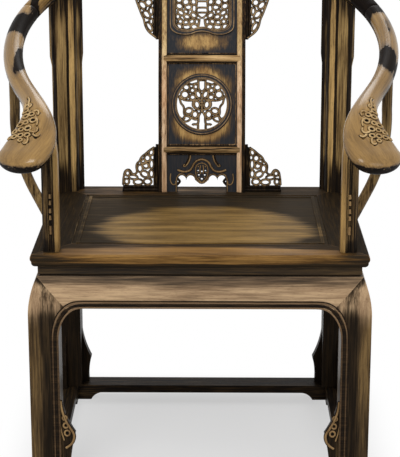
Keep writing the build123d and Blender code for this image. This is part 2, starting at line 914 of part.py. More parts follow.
def plate(plane, face, near, far):
    """A flat plate on that plane, from near to far in front of it."""
    return extrude(plane.offset(near) * face, amount=far - near)


def mirrored_pair(face):
    """A face drawn on the right with its partner on the left."""
    return face + mirror(face, about=Plane.YZ)


def pierced(holes, turn=11.0):
    """Cut openings of an openwork: each is an across, an up and a radius."""
    face = Sketch()
    for order, (across, up_part, radius) in enumerate(holes):
        opening = RegularPolygon(radius, hole_sides, rotation=turn * order)
        face += Pos(across, up_part) * opening
    return face


def foot_cutout():
    """The lower edge of the foot panel: two small arches each side of a round pendant."""
    arch_half = foot_arch_half - foot_pendant_half
    arch_base = 0.7 * foot_arch_height
    face = Pos(0, arch_base / 2 - 1) * Rectangle(2 * foot_arch_half, arch_base + 2)
    for part in (0.25, 0.75):
        centre = foot_pendant_half + part * arch_half
        lobe = oval(arch_half / 2, 2 * (foot_arch_height - arch_base))
        face += mirrored_pair(Pos(centre, arch_base) * lobe)
    drop = foot_arch_height - foot_pendant_height
    return face - Pos(0, foot_arch_height) * oval(2 * foot_pendant_half, 2 * drop)


def foot_motif():
    """The small pierced motif over the pendant: two tall leaves between two eyes."""
    high = foot_arch_height
    face = pierced([(0, high + 8, 2.6), (0, high - 9, 3.0)])
    return face + mirrored_pair(pierced([(6.5, high, 2.6), (8, high + 10, 2.2)]))


foot_plane = splat_plane(0)
foot_panel = panel_slab & splat_box(-panel_reach, panel_reach, 0, foot_high)
foot_panel -= plate(foot_plane, foot_cutout() + foot_motif(), -stile_thick, stile_thick)
pieces["splat_panel_foot"] = foot_panel


def framed_panel(low, high, plane, opening, moulding):
    """A bent panel with a cut opening and a raised moulding round it."""
    body = panel_slab & splat_box(-panel_reach, panel_reach, low, high)
    body += plate(plane, moulding, 0, splat_panel_thick / 2 + moulding_proud)
    return body - plate(plane, opening, -stile_thick, stile_thick)


roundel_plane = splat_plane(roundel_height)
roundel_opening = RegularPolygon(roundel_opening_radius, roundel_flats)
pieces["splat_panel_roundel"] = framed_panel(
    roundel_low, roundel_high, roundel_plane,
    roundel_opening, RegularPolygon(roundel_opening_radius + moulding_wide, roundel_flats),
)

top_middle = (top_opening_low + top_opening_high) / 2
top_plane = splat_plane(top_middle)
top_half_high = (top_opening_high - top_opening_low) / 2


def top_opening(grow):
    """The opening of the top panel: a wave below, a low arch above, rounded corners."""
    half = top_opening_half + grow
    low = -top_half_high - grow
    high = top_half_high + grow
    corner = 0.3 * half
    crest_of_wave = (0, low + top_wave)
    lobes = [(side * 0.5 * half, low) for side in (-1, 1)]
    shoulders = [(side * half, low + corner) for side in (-1, 1)]
    wave = [
        ThreePointArc(shoulders[0], (-0.84 * half, low + 0.2 * corner), lobes[0]),
        TangentArc(lobes[0], (-0.25 * half, low + top_wave / 2), tangent=(1, 0)),
        ThreePointArc(
            (-0.25 * half, low + top_wave / 2), crest_of_wave, (0.25 * half, low + top_wave / 2)
        ),
        TangentArc(lobes[1], (0.25 * half, low + top_wave / 2), tangent=(-1, 0)),
        ThreePointArc(lobes[1], (0.84 * half, low + 0.2 * corner), shoulders[1]),
    ]
    outline = wave + [
        Line((half, low + corner), (half, high - corner)),
        ThreePointArc((half, high - corner), (0, high), (-half, high - corner)),
        Line((-half, high - corner), (-half, low + corner)),
    ]
    return make_face(outline)


top_panel = framed_panel(
    top_low, splat_rise, top_plane, top_opening(0), top_opening(moulding_wide)
)
pieces["splat_panel_top"] = one_body(top_panel - crest)


# ---------------------------------------------------------------- pierced carvings
def roundel_holes():
    """Openings round a butterfly, drawn on the right half and mirrored."""
    radius = roundel_opening_radius
    shares = [
        (0.30, 0.34, 0.15),
        (0.56, 0.42, 0.15),
        (0.44, 0.06, 0.17),
        (0.78, 0.14, 0.13),
        (0.26, 0.70, 0.14),
        (0.56, 0.70, 0.10),
        (0.28, -0.32, 0.14),
        (0.60, -0.26, 0.16),
        (0.22, -0.68, 0.15),
        (0.54, -0.62, 0.14),
    ]
    return [(across * radius, up * radius, size * radius) for across, up, size in shares]


def top_holes():
    """Openings of the top carving, drawn on the right half and mirrored."""
    half = top_opening_half
    high = top_half_high
    shares = [
        (0.22, 0.62, 0.13),
        (0.52, 0.62, 0.13),
        (0.80, 0.50, 0.12),
        (0.22, 0.18, 0.13),
        (0.52, 0.16, 0.14),
        (0.82, 0.04, 0.11),
        (0.24, -0.28, 0.13),
        (0.54, -0.34, 0.13),
        (0.82, -0.42, 0.11),
        (0.32, -0.68, 0.10),
        (0.62, -0.74, 0.09),
    ]
    return [(across * half, up * high, size * half) for across, up, size in shares]


half_carving = carving_thick / 2
roundel_face = roundel_opening - mirrored_pair(pierced(roundel_holes()))
pieces["splat_carving_roundel"] = plate(roundel_plane, roundel_face, -half_carving, half_carving)
top_face = top_opening(0) - mirrored_pair(pierced(top_holes()))
pieces["splat_carving_top"] = plate(top_plane, top_face, -half_carving, half_carving)


# ---------------------------------------------------------------- spandrels
def lower_spandrel_face():
    """A stepped bracket: upright strip, foot strip and a curled toe, with openings."""
    wide = lower_spandrel_wide
    high = lower_spandrel_high
    step = (0.66 * wide, 0.42 * high)
    outline = [
        Line((0, 0), (0, high)),
        Line((0, high), (0.12 * wide, high)),
        ThreePointArc((0.12 * wide, high), (0.46 * wide, 0.76 * high), step),
        ThreePointArc(step, (0.84 * wide, 0.44 * high), (wide, 0.26 * high)),
        Line((wide, 0.26 * high), (wide, 0)),
        Line((wide, 0), (0, 0)),
    ]
    holes = [
        (0.32 * wide, 0.72 * high, 7.0),
        (0.30 * wide, 0.52 * high, 6.5),
        (0.50 * wide, 0.56 * high, 6.0),
        (0.32 * wide, 0.32 * high, 6.0),
        (0.56 * wide, 0.34 * high, 6.5),
        (0.80 * wide, 0.33 * high, 5.5),
        (0.28 * wide, 0.20 * high, 4.0),
        (0.48 * wide, 0.20 * high, 4.0),
        (0.70 * wide, 0.20 * high, 4.0),
    ]
    return make_face(outline) - pierced(holes)


def upper_spandrel_face(high):
    """A hanging bracket that widens towards the crest, with openings."""
    wide = upper_spandrel_wide
    outline = [
        Line((0, 0), (0, high)),
        Line((0, high), (wide, high)),
        Line((wide, high), (wide, 0.86 * high)),
        ThreePointArc((wide, 0.86 * high), (0.72 * wide, 0.44 * high), (0.28 * wide, 0.12 * high)),
        Line((0.28 * wide, 0.12 * high), (0, 0)),
    ]
    holes = [
        (0.36 * wide, 0.28 * high, 6.0),
        (0.36 * wide, 0.43 * high, 6.5),
        (0.60 * wide, 0.46 * high, 6.0),
        (0.36 * wide, 0.58 * high, 6.0),
        (0.62 * wide, 0.61 * high, 6.5),
        (0.38 * wide, 0.73 * high, 6.0),
        (0.68 * wide, 0.76 * high, 7.0),
    ]
    return make_face(outline) - pierced(holes)


stile_edge = splat_wide / 2
half_spandrel = spandrel_thick / 2
lower_face = Pos(stile_edge, 0) * lower_spandrel_face()
lower_spandrel = plate(splat_plane(0), lower_face, -half_spandrel, half_spandrel)
upper_length = (splat_rise - upper_spandrel_low) * 1.12
upper_middle = (splat_rise + upper_spandrel_low) / 2
upper_base = splat_plane(upper_middle)
upper_plane = Plane(
    upper_base.location * Pos(stile_edge, -upper_length / 2, 0) * Rot(0, -upper_spandrel_turn, 0)
)
upper_plate = plate(
    upper_plane, upper_spandrel_face(upper_length), -half_spandrel, half_spandrel
)
brackets = {"lower": lower_spandrel, "upper": upper_plate - crest - shoulder}
for place, bracket in brackets.items():
    both_sides(f"spandrel_{place}", one_body(bracket - pieces["splat_stile_right"]))

# ---------------------------------------------------------------- rail lengths and wedges
right_wedges = [wedge_at(angle) for angle in (shoulder_end, crest_end)]
wedges = right_wedges + [mirror(wedge, about=Plane.YZ) for wedge in right_wedges]
for wedge in wedges:
    crest -= wedge
    shoulder -= wedge
    arm -= wedge
pieces["rail_crest"] = crest
both_sides("rail_shoulder", shoulder)
both_sides("rail_arm", arm)
pieces["rail_wedges"] = Compound(children=wedges)

# ---------------------------------------------------------------- seat rails, last cuts
for name, rail in seat_rails.items():
    body = rail - panel_groove - seat_mortises
    for mortise in batten_mortises:
        body -= mortise
    pieces[name] = body

os.makedirs("parts", exist_ok=True)
for name, shape in pieces.items():
    export_step(shape, f"parts/{name}.step")
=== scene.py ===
"""Horseshoe back armchair in rubbed black lacquer over elm: the look of every piece."""

import logging
import math
from dataclasses import dataclass, replace
from enum import Enum
from typing import Callable, Optional, Sequence, Union

import bmesh
import bpy
import numpy as np
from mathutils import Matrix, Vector


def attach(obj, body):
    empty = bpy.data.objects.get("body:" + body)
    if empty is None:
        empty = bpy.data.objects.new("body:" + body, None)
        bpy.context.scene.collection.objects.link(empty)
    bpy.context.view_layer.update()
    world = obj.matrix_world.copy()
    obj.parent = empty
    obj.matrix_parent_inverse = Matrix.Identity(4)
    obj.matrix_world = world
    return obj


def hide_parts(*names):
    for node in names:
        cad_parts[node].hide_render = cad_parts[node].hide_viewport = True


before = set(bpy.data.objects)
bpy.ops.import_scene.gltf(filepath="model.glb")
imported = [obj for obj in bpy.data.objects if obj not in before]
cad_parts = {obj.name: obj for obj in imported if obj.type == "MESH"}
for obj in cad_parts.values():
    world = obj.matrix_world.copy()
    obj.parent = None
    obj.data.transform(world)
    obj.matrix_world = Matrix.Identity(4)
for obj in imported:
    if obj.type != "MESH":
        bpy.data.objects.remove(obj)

MM = 0.001
SAME_POINT = 1e-6
ROOT = "root"
SIDES = ((1, "right"), (-1, "left"))
log = logging.getLogger("armchair")

Colour = tuple[float, float, float]
Point = tuple[float, float, float]
Spot = tuple[float, float]
Span = tuple[float, float]
Place = Callable[[np.ndarray], np.ndarray]
Socket = bpy.types.NodeSocket
Value = Union[float, Socket]


# ------------------------------------------------------------------ sizes
@dataclass(frozen=True)
class ChairSizes:
    """The chair's main sizes in millimetres, the same as those of its solids."""

    half_width: float = 330.0
    half_depth: float = 260.0
    seat_height: float = 500.0
    apron_top: float = 453.0
    apron_bottom: float = 392.0
    apron_drop: float = 78.0
    top_setback: float = 11.0
    leg_outset: float = 6.0
    leg_square: float = 59.0
    round_wide: float = 45.0
    round_high: float = 66.0
    base_top: float = 35.0
    rail_thick: float = 39.0
    rail_radius: float = 381.0
    rail_tilt: float = 22.8
    rail_centre: float = 868.0
    turn_forward: float = 24.0
    crest_half: float = 33.0
    shoulder: float = 38.0
    grip_wide: float = 106.0
    grip_thick: float = 40.0
    grip_widening: float = 1.6
    splat_foot: float = 215.0
    splat_half: float = 96.0
    stile_wide: float = 18.0
    panel_thick: float = 9.0
    roundel_height: float = 195.0
    roundel_radius: float = 57.5
    top_half: float = 61.0
    top_low: float = 349.0
    top_high: float = 446.0
    top_wave: float = 8.0

    def ring(self, angle: float) -> np.ndarray:
        """The rail's centreline.

        Args:
            angle: the place on the ring in degrees; 0 is right, 90 is back.

        Returns:
            The point in millimetres.
        """
        turn, tilt = math.radians(angle), math.radians(self.rail_tilt)
        across = self.rail_radius * math.cos(turn)
        back = self.rail_radius * math.sin(turn)
        return np.array(
            [across, back * math.cos(tilt), self.rail_centre + back * math.sin(tilt)]
        )

    @property
    def splat_radius(self) -> float:
        """The splat's bend, from its foot to the middle of the crest rail.

        Returns:
            Its radius in millimetres.
        """
        across = self.splat_half - self.stile_wide / 2
        top = self.ring(math.degrees(math.acos(across / self.rail_radius)))
        rise, lean = top[2] - self.seat_height, top[1] - self.splat_foot
        return (rise * rise + lean * lean) / (2 * lean)


SIZES = ChairSizes()


# ------------------------------------------------------------------ finishes
class Grain(Enum):
    """Which way the wood grain runs on a piece."""

    ACROSS = 0
    DEEP = 1
    UP = 2
    ALONG = 3


def paint(red: int, green: int, blue: int) -> Colour:
    """A colour given as it looks on a screen.

    Args:
        red: the red part, 0 to 255.
        green: the green part.
        blue: the blue part.

    Returns:
        The colour as linear light.
    """

    def linear(value: float) -> float:
        """One channel."""
        value /= 255
        return value / 12.92 if value <= 0.04045 else ((value + 0.055) / 1.055) ** 2.4

    return (linear(red), linear(green), linear(blue))


class Tree:
    """A node tree with short calls for the nodes that this chair needs."""

    def __init__(self, tree: bpy.types.NodeTree) -> None:
        """Empties the tree.

        Args:
            tree: the tree to fill.
        """
        self.nodes = tree.nodes
        self.links = tree.links
        self.nodes.clear()

    def add(
        self, kind: str, inputs: Optional[dict] = None, **settings: object
    ) -> bpy.types.Node:
        """Adds a node.

        Args:
            kind: the node's type name.
            inputs: input number or name to a value or to another node's output.
            settings: what else to set on the node.

        Returns:
            The node.
        """
        node = self.nodes.new(kind)
        for key, value in settings.items():
            setattr(node, key, value)
        for key, value in (inputs or {}).items():
            if isinstance(value, Socket):
                self.links.new(value, node.inputs[key])
            else:
                node.inputs[key].default_value = value
        return node

    def math(self, how: str, *values: Value, clamp: bool = False) -> Socket:
        """One sum on values."""
        node = self.add("ShaderNodeMath", dict(enumerate(values)), operation=how, use_clamp=clamp)
        return node.outputs[0]

    def plus(self, base: Value, value: Socket, weight: float, clamp: bool = False) -> Socket:
        """The base with a weighted value added to it."""
        return self.math("ADD", base, self.math("MULTIPLY", value, weight), clamp=clamp)

    def vector(
        self, how: str, *values: Union[Point, Socket], result: str = "Vector"
    ) -> Socket:
        """One sum on vectors."""
        node = self.add("ShaderNodeVectorMath", dict(enumerate(values)), operation=how)
        return node.outputs[result]

    def part(self, vector: Socket, axis: int) -> Socket:
        """One coordinate of a vector."""
        return self.add("ShaderNodeSeparateXYZ", {0: vector}).outputs[axis]

    def place(self) -> Socket:
        """The point being shaded, on the piece's own axes."""
        return self.add("ShaderNodeTexCoord").outputs["Object"]

    def step(self, value: Socket, low: float, high: float) -> Socket:
        """A soft step.

        Args:
            value: what is measured.
            low: where the step starts, at 0.
            high: where it ends, at 1.

        Returns:
            The socket that carries the step.
        """
        node = self.add(
            "ShaderNodeMapRange",
            {"Value": value, "From Min": low, "From Max": high},
            interpolation_type="SMOOTHSTEP",
        )
        return node.outputs["Result"]

    def blend(
        self, share: Socket, first: Union[Colour, Socket], second: Union[Colour, Socket]
    ) -> Socket:
        """A mixed colour.

        Args:
            share: how much of the second colour is in it.
            first: the colour at 0.
            second: the colour at 1.

        Returns:
            The socket that carries the colour.
        """
        inputs = {0: share}
        for socket, value in ((6, first), (7, second)):
            inputs[socket] = value if isinstance(value, Socket) else (*value, 1.0)
        return self.add("ShaderNodeMix", inputs, data_type="RGBA").outputs[2]


@dataclass(frozen=True)
class RoundRub:
    """A round or oval place that hands have rubbed, or that kept its lacquer.

    Places are in millimetres. A negative amount takes lacquer off, a positive one keeps it.
    """

    centre: Point
    radii: Point
    fade: float
    amount: float

    def share(self, tree: Tree, place: Socket) -> Socket:
        """1 inside the place and 0 outside, with a soft rim.

        Args:
            tree: the material's tree.
            place: the point being shaded, in metres.

        Returns:
            The socket that carries the share.
        """
        centre = tuple(value * MM for value in self.centre)
        per_radius = tuple(1 / (value * MM) for value in self.radii)
        scaled = tree.vector("MULTIPLY", tree.vector("SUBTRACT", place, centre), per_radius)
        far = tree.vector("LENGTH", scaled, result="Value")
        return tree.step(far, 1 + self.fade, 1 - self.fade)


@dataclass(frozen=True)
class BandRub:
    """A band across an axis that was rubbed, or that kept its lacquer.

    Places are in millimetres. A folded band is there on the left as on the right.
    """

    axis: int
    low: float
    high: float
    fade: float
    amount: float
    folded: bool = False

    def share(self, tree: Tree, place: Socket) -> Socket:
        """1 inside the band and 0 outside.

        Args:
            tree: the material's tree.
            place: the point being shaded, in metres.

        Returns:
            The socket that carries the share.
        """
        value = tree.part(place, self.axis)
        if self.folded:
            value = tree.math("ABSOLUTE", value)
        low, high, fade = self.low * MM, self.high * MM, self.fade * MM / 2
        over = tree.step(value, low - fade, low + fade)
        return tree.math("MULTIPLY", over, tree.step(value, high + fade, high - fade))


@dataclass(frozen=True)
class Speckle:
    """Smooth noise drawn out along the grain."""

    times: float
    per_metre: float
    detail: float
    rough: float

    def on(self, tree: Tree, place: Socket, axis: int) -> Socket:
        """The noise, about 0.5, at a point.

        Args:
            tree: the material's tree.
            place: the point being shaded.
            axis: the axis along which the noise is drawn out.

        Returns:
            The socket that carries the noise.
        """
        squeeze = tuple(1 / self.times if number == axis else 1.0 for number in range(3))
        drawn = tree.add("ShaderNodeMapping", {"Vector": place, "Scale": squeeze})
        return tree.add(
            "ShaderNodeTexNoise",
            {
                "Vector": drawn.outputs[0],
                "Scale": self.per_metre,
                "Detail": self.detail,
                "Roughness": self.rough,
            },
        ).outputs[0]


@dataclass(frozen=True)
class ElmFigure:
    """The figure of bare elm: its parts, where each shows and how much tone it makes."""

    rings_long: float = 9.0
    ring_turns: float = 46.0
    ring_tone: float = 0.30
    streaks: Speckle = Speckle(26.0, 330.0, 3.0, 0.62)
    streak_span: Span = (0.32, 0.68)
    streak_tone: float = 0.34
    broad: Speckle = Speckle(5.0, 34.0, 2.0, 0.5)
    broad_span: Span = (0.3, 0.7)
    broad_tone: float = 0.42
    pores: Speckle = Speckle(12.0, 1150.0, 1.0, 0.4)
    pore_span: Span = (0.60, 0.70)
    pore_tone: float = 0.35


@dataclass(frozen=True)
class Wear:
    """What all pieces share in the way that their lacquer wears and takes the light."""

    patch_share: float = 0.58
    streak_share: float = 0.42
    hazy_streaks: Span = (0.42, 0.66)
    # Lacquer levels over which wood is darkened: a stain margin round the lacquer, and on downward
    # faces painted shade.
    stain_and_shade: Span = (-0.85, 0.10)
    stain_and_shade_share: float = 0.82
    stain_and_shade_tone: float = 0.5
    edge_wide: float = 2.0
    edge: Span = (0.995, 0.90)
    air_reach: float = 14.0
    ridge_air: Span = (0.45, 0.80)
    hollow_air: Span = (0.72, 0.25)
    facing_front: Span = (-0.62, -0.93)
    # Normal heights over which downward faces are darkened as painted shade.
    facing_down: Span = (0.5, -0.5)
    samples: int = 6
    lacquer_rough_less: float = 0.08
    streak_rough: float = 0.18
    streak_relief: float = 0.5
    pore_relief: float = 0.35
    lacquer_relief: float = 0.22
    relief: float = 0.5


ELM = ElmFigure()
WEAR = Wear()


@dataclass(frozen=True)
class RubbedLacquer:
    """Black lacquer over elm, rubbed through along the grain and on the edges.

    The wood is bare, its darker grain bare_dark, and above the height tint_from it turns to
    tint. The lacquer has worn patches of the size patch, drawn out along the grain by
    stretch. More cover leaves more lacquer, more ragged breaks its edge up and more soft
    blurs it. edge_rub bares edges, front_rub what faces forward and rubs single places;
    crevice and cut_stain keep lacquer in hollows and in cuts, and under_shade darkens
    downward faces towards lacquer as painted shade. haze is the wood that shows through.
    """

    name: str
    slot: str
    grain: Grain
    bare: Colour
    bare_dark: Colour
    lacquer: Colour = paint(27, 23, 20)
    cover: float = 0.0
    patch: float = 60.0
    stretch: float = 9.0
    soft: float = 0.22
    edge_rub: float = 0.0
    crevice: float = 0.45
    bare_rough: float = 0.42
    lacquer_rough: float = 0.34
    bump: float = 0.5
    gloss: float = 0.14
    lacquer_sheen: float = 0.15
    under_shade: float = 0.0
    ragged: float = 4.2
    grain_depth: float = 1.0
    haze: float = 0.22
    figure: float = 16.0
    front_rub: float = 0.0
    cut_stain: float = 0.0
    tint: Optional[Colour] = None
    tint_dark: Optional[Colour] = None
    tint_from: float = 0.0
    tint_to: float = 1.0
    rubs: tuple = ()

    def make(self) -> bpy.types.Material:
        """Builds the material.

        Returns:
            The finished material.
        """
        material = bpy.data.materials.new(self.name)
        material.use_nodes = True
        tree = Tree(material.node_tree)
        true_place = tree.place()
        place, axis = true_place, self.grain.value
        if self.grain is Grain.ALONG:
            place = tree.add("ShaderNodeAttribute", attribute_name="run").outputs["Vector"]
            axis = Grain.UP.value
        wood, streaks, pores = self._wood(tree, place, true_place, axis)
        lacquered = self._lacquer_share(tree, place, true_place, axis, streaks)
        coated = tree.step(lacquered, -self.soft, self.soft)
        # Wood just short of the lacquer is darkened: a stain margin round the patches, and on
        # downward faces painted shade.
        stain_and_shade = tree.math("MULTIPLY", tree.step(lacquered, *WEAR.stain_and_shade), WEAR.stain_and_shade_share)
        stain_and_shade_colour = tuple(WEAR.stain_and_shade_tone * value for value in self.bare_dark)
        haze = tuple(
            black + self.haze * brown for black, brown in zip(self.lacquer, self.bare_dark)
        )
        cover = tree.blend(tree.step(streaks, *WEAR.hazy_streaks), self.lacquer, haze)
        colour = tree.blend(coated, tree.blend(stain_and_shade, wood, stain_and_shade_colour), cover)
        self._shade(tree, colour, coated, streaks, pores)
        return material

    def _wood(self, tree: Tree, place: Socket, true_place: Socket, axis: int) -> tuple:
        """Bare elm: contour-like figure, fine streaks and short dark pores.

        Args:
            tree: the material's tree.
            place: the point in the wood.
            true_place: the point on the chair.
            axis: the way of the grain.

        Returns:
            The sockets that carry the wood's colour, its streaks and its pores.
        """
        figure = Speckle(ELM.rings_long, self.figure, 2.0, 0.45).on(tree, place, axis)
        rings = tree.math("SINE", tree.math("MULTIPLY", figure, ELM.ring_turns))
        rings = tree.math("MULTIPLY_ADD", rings, 0.5, 0.5)
        streaks = ELM.streaks.on(tree, place, axis)
        broad = ELM.broad.on(tree, place, axis)
        pores = tree.step(ELM.pores.on(tree, place, axis), *ELM.pore_span)
        tone = tree.math("MULTIPLY", rings, ELM.ring_tone)
        tone = tree.plus(tone, tree.step(streaks, *ELM.streak_span), ELM.streak_tone)
        tone = tree.plus(tone, tree.step(broad, *ELM.broad_span), ELM.broad_tone)
        tone = tree.plus(tone, pores, -ELM.pore_tone, clamp=True)
        tone = tree.plus(1.0, tree.math("SUBTRACT", tone, 1.0), self.grain_depth)
        wood = tree.blend(tone, self.bare_dark, self.bare)
        if self.tint is not None:
            over = tree.step(tree.part(true_place, 2), self.tint_from * MM, self.tint_to * MM)
            wood = tree.blend(over, wood, tree.blend(tone, self.tint_dark, self.tint))
        return wood, streaks, pores

    def _lacquer_share(
        self, tree: Tree, place: Socket, true_place: Socket, axis: int, streaks: Socket
    ) -> Socket:
        """How much lacquer stands at a point: below 0 it is rubbed through.

        Args:
            tree: the material's tree.
            place: the point in the wood.
            true_place: the point on the chair.
            axis: the way of the grain.
            streaks: the wood's fine streaks.

        Returns:
            The socket that carries the amount.
        """
        per_metre = 1 / (self.patch * MM)
        patches = Speckle(self.stretch, per_metre, 4.0, 0.58).on(tree, place, axis)
        mixed = tree.math("MULTIPLY", patches, WEAR.patch_share)
        mixed = tree.plus(mixed, streaks, WEAR.streak_share)
        level = tree.plus(self.cover - 0.5, tree.math("SUBTRACT", mixed, 0.5), -self.ragged)
        normal = tree.add("ShaderNodeNewGeometry").outputs["Normal"]
        rounded = tree.add(
            "ShaderNodeBevel", {"Radius": WEAR.edge_wide * MM}, samples=WEAR.samples
        )
        same = tree.vector("DOT_PRODUCT", normal, rounded.outputs[0], result="Value")
        open_air = tree.add(
            "ShaderNodeAmbientOcclusion", {"Distance": WEAR.air_reach * MM},
            samples=WEAR.samples, only_local=False,
        ).outputs["AO"]
        edge = tree.step(same, *WEAR.edge)
        ridge = tree.math("MULTIPLY", edge, tree.step(open_air, *WEAR.ridge_air))
        level = tree.plus(level, ridge, -self.edge_rub)
        level = tree.plus(level, tree.step(open_air, *WEAR.hollow_air), self.crevice)
        if self.front_rub:
            face_on = tree.step(tree.part(normal, 1), *WEAR.facing_front)
            level = tree.plus(level, face_on, -self.front_rub)
        # Painted shade: downward faces get more lacquer, so they turn darker towards the bottom.
        if self.under_shade:
            shade_below = tree.step(tree.part(normal, 2), *WEAR.facing_down)
            level = tree.plus(level, shade_below, self.under_shade)
        if self.cut_stain:
            cut = tree.add("ShaderNodeAttribute", attribute_name="cut").outputs["Fac"]
            level = tree.plus(level, cut, self.cut_stain)
        for rub in self.rubs:
            level = tree.plus(level, rub.share(tree, true_place), rub.amount)
        return level

    def _shade(
        self, tree: Tree, colour: Socket, coated: Socket, streaks: Socket, pores: Socket
    ) -> None:
        """Wires colour, gloss and surface relief to the output.

        Args:
            tree: the material's tree.
            colour: the colour of wood and lacquer.
            coated: 1 where lacquer stands and 0 where it is gone.
            streaks: the wood's fine streaks.
            pores: the wood's pores.
        """
        rough = self.bare_rough - WEAR.lacquer_rough_less
        rough = tree.plus(rough, coated, self.lacquer_rough - self.bare_rough)
        rough = tree.plus(rough, streaks, WEAR.streak_rough, clamp=True)
        height = tree.math("MULTIPLY", streaks, WEAR.streak_relief)
        height = tree.plus(height, pores, -WEAR.pore_relief)
        height = tree.plus(height, coated, WEAR.lacquer_relief)
        relief = tree.add(
            "ShaderNodeBump",
            {"Strength": self.bump, "Distance": WEAR.relief * MM, "Height": height},
        )
        shader = tree.add(
            "ShaderNodeBsdfPrincipled",
            {
                "Base Color": colour,
                "Roughness": rough,
                "Normal": relief.outputs[0],
                "Specular IOR Level": tree.plus(
                    self.gloss, coated, (self.lacquer_sheen - 1) * self.gloss
                ),
            },
        )
        tree.add("ShaderNodeOutputMaterial", {"Surface": shader.outputs[0]})


# Bare wood of the rail, the apron, the seat, the legs and the rest, and its darker grain.
GOLD = paint(166, 130, 74)
GOLD_DARK = paint(108, 80, 42)
PINK = paint(208, 176, 137)
PINK_DARK = paint(138, 110, 82)
OLIVE = paint(158, 128, 76)
OLIVE_DARK = paint(90, 68, 36)
LEG = paint(138, 110, 68)
LEG_DARK = paint(70, 52, 30)
BROWN = paint(168, 138, 88)
BROWN_DARK = paint(92, 68, 38)

# Where black lacquer is left on the rail.
RAIL_PATCHES = (
    RoundRub((-372, 46, 888), (46, 38, 60), 0.3, 1.5),
    RoundRub((-350, 104, 912), (9, 46, 60), 0.4, 1.2),
    RoundRub((-360, -78, 836), (13, 62, 60), 0.35, 1.5),
    RoundRub((350, 118, 920), (60, 40, 60), 0.3, 1.5),
    RoundRub((372, -70, 840), (20, 52, 60), 0.35, 1.5),
    RoundRub((384, 44, 885), (8, 40, 60), 0.4, 1.0),
)


def side_grain(recipe: RubbedLacquer, name: str) -> RubbedLacquer:
    """The same finish for a piece whose grain runs from front to back."""
    return replace(recipe, name=name, grain=Grain.DEEP)


def seat_finishes() -> list[RubbedLacquer]:
    """The finishes of the seat, the waist and the apron.

    Returns:
        One recipe for each finish.
    """
    seat_board = RubbedLacquer(
        "seat_board", "seat_board", Grain.ACROSS, paint(164, 131, 76), OLIVE_DARK,
        paint(50, 43, 34), cover=0.98, patch=70, stretch=7, soft=0.26, figure=11.0,
        edge_rub=0.5, lacquer_rough=0.5, bare_rough=0.5, gloss=0.05,
        rubs=(
            RoundRub((8, -72, 498), (214, 162, 100), 0.2, -1.35),
            BandRub(0, 241, 247, 2, -0.3, folded=True),
        ),
    )
    seat_frame = RubbedLacquer(
        "seat_frame_wood", "seat_frame_wood", Grain.ACROSS, paint(164, 124, 68),
        paint(102, 70, 34), paint(46, 39, 30), cover=0.94, edge_rub=0.75,
        lacquer_rough=0.5, gloss=0.07,
        rubs=(
            RoundRub((0, -246, 500), (300, 36, 40), 0.25, -0.95),
            BandRub(2, 470, 481, 6, 0.8),
        ),
    )
    seat_side = replace(
        side_grain(seat_frame, "seat_side_wood"), bare=OLIVE, bare_dark=OLIVE_DARK,
        lacquer=paint(36, 29, 21), cover=1.12, edge_rub=0.55, rubs=(),
    )
    waist = RubbedLacquer(
        "waist_wood", "waist_wood", Grain.ACROSS, BROWN, BROWN_DARK, paint(46, 40, 34),
        cover=0.80, patch=50, soft=0.5, edge_rub=0.2, ragged=2.4,
    )
    apron = RubbedLacquer(
        "apron_wood", "apron_wood", Grain.ACROSS, PINK, PINK_DARK, paint(44, 40, 36),
        cover=-0.1, stretch=8, soft=0.6, edge_rub=0.25, ragged=2.6,
        rubs=(BandRub(2, 438, 470, 22, 0.5), BandRub(2, 380, 399, 5, 0.25)),
    )
    return [
        seat_board, seat_frame, seat_side, waist, side_grain(waist, "waist_side_wood"),
        apron, side_grain(apron, "apron_side_wood"),
    ]


def frame_finishes() -> list[RubbedLacquer]:
    """The finishes of the legs, the base frame and the posts.

    Returns:
        One recipe for each finish.
    """
    leg = RubbedLacquer(
        "leg_wood", "leg_wood", Grain.UP, LEG, LEG_DARK, paint(32, 26, 20),
        cover=0.86, patch=52, soft=0.42, edge_rub=0.35, ragged=3.0,
        tint=PINK, tint_dark=PINK_DARK, tint_from=345, tint_to=400,
        rubs=(
            BandRub(0, 312, 345, 16, -0.72, folded=True),
            BandRub(0, 272, 284, 8, -0.35, folded=True),
            BandRub(2, 384, 440, 30, -0.55),
            BandRub(2, 440, 470, 22, 0.6),
            BandRub(1, 60, 290, 60, 1.0),
        ),
    )
    dark = RubbedLacquer(
        "dark_wood", "dark_wood", Grain.ACROSS, BROWN, BROWN_DARK,
        cover=0.82, soft=0.4, edge_rub=0.4, ragged=3.0,
    )
    post = RubbedLacquer(
        "post_wood", "post_wood", Grain.UP, paint(222, 182, 116), BROWN_DARK,
        cover=0.98, patch=44, stretch=14, soft=0.26, edge_rub=0.25,
        rubs=(
            BandRub(0, 279, 290, 3, -1.2, folded=True),
            BandRub(0, 292, 297, 3, 0.7, folded=True),
            BandRub(0, 300, 310, 3, -0.9, folded=True),
            BandRub(0, 270, 277, 4, -0.35, folded=True),
            BandRub(2, 480, 560, 70, 0.8),
            BandRub(2, 905, 1050, 60, 0.6),
        ),
    )
    front_post = replace(
        post, name="front_post_wood", bare=paint(196, 158, 98),
        cover=0.62, soft=0.3, edge_rub=0.45,
        rubs=(BandRub(0, 268, 283, 4, -1.1, folded=True), BandRub(2, 480, 520, 20, 0.5)),
    )
    strip = replace(
        post, name="strip_wood", bare=paint(200, 166, 108), cover=0.0, edge_rub=-0.45,
        rubs=(
            BandRub(2, 480, 560, 70, 0.9), BandRub(2, 895, 1050, 60, 0.7),
            BandRub(0, 316, 325, 3, 1.0, folded=True), BandRub(0, 255, 270, 3, 0.6, folded=True),
        ),
    )
    side_post = replace(
        post, name="side_post_wood", bare=BROWN,
        cover=0.25, patch=34, stretch=9, soft=0.22, edge_rub=0.0, rubs=(),
    )
    return [leg, dark, side_grain(dark, "dark_side_wood"), post, front_post, strip, side_post]


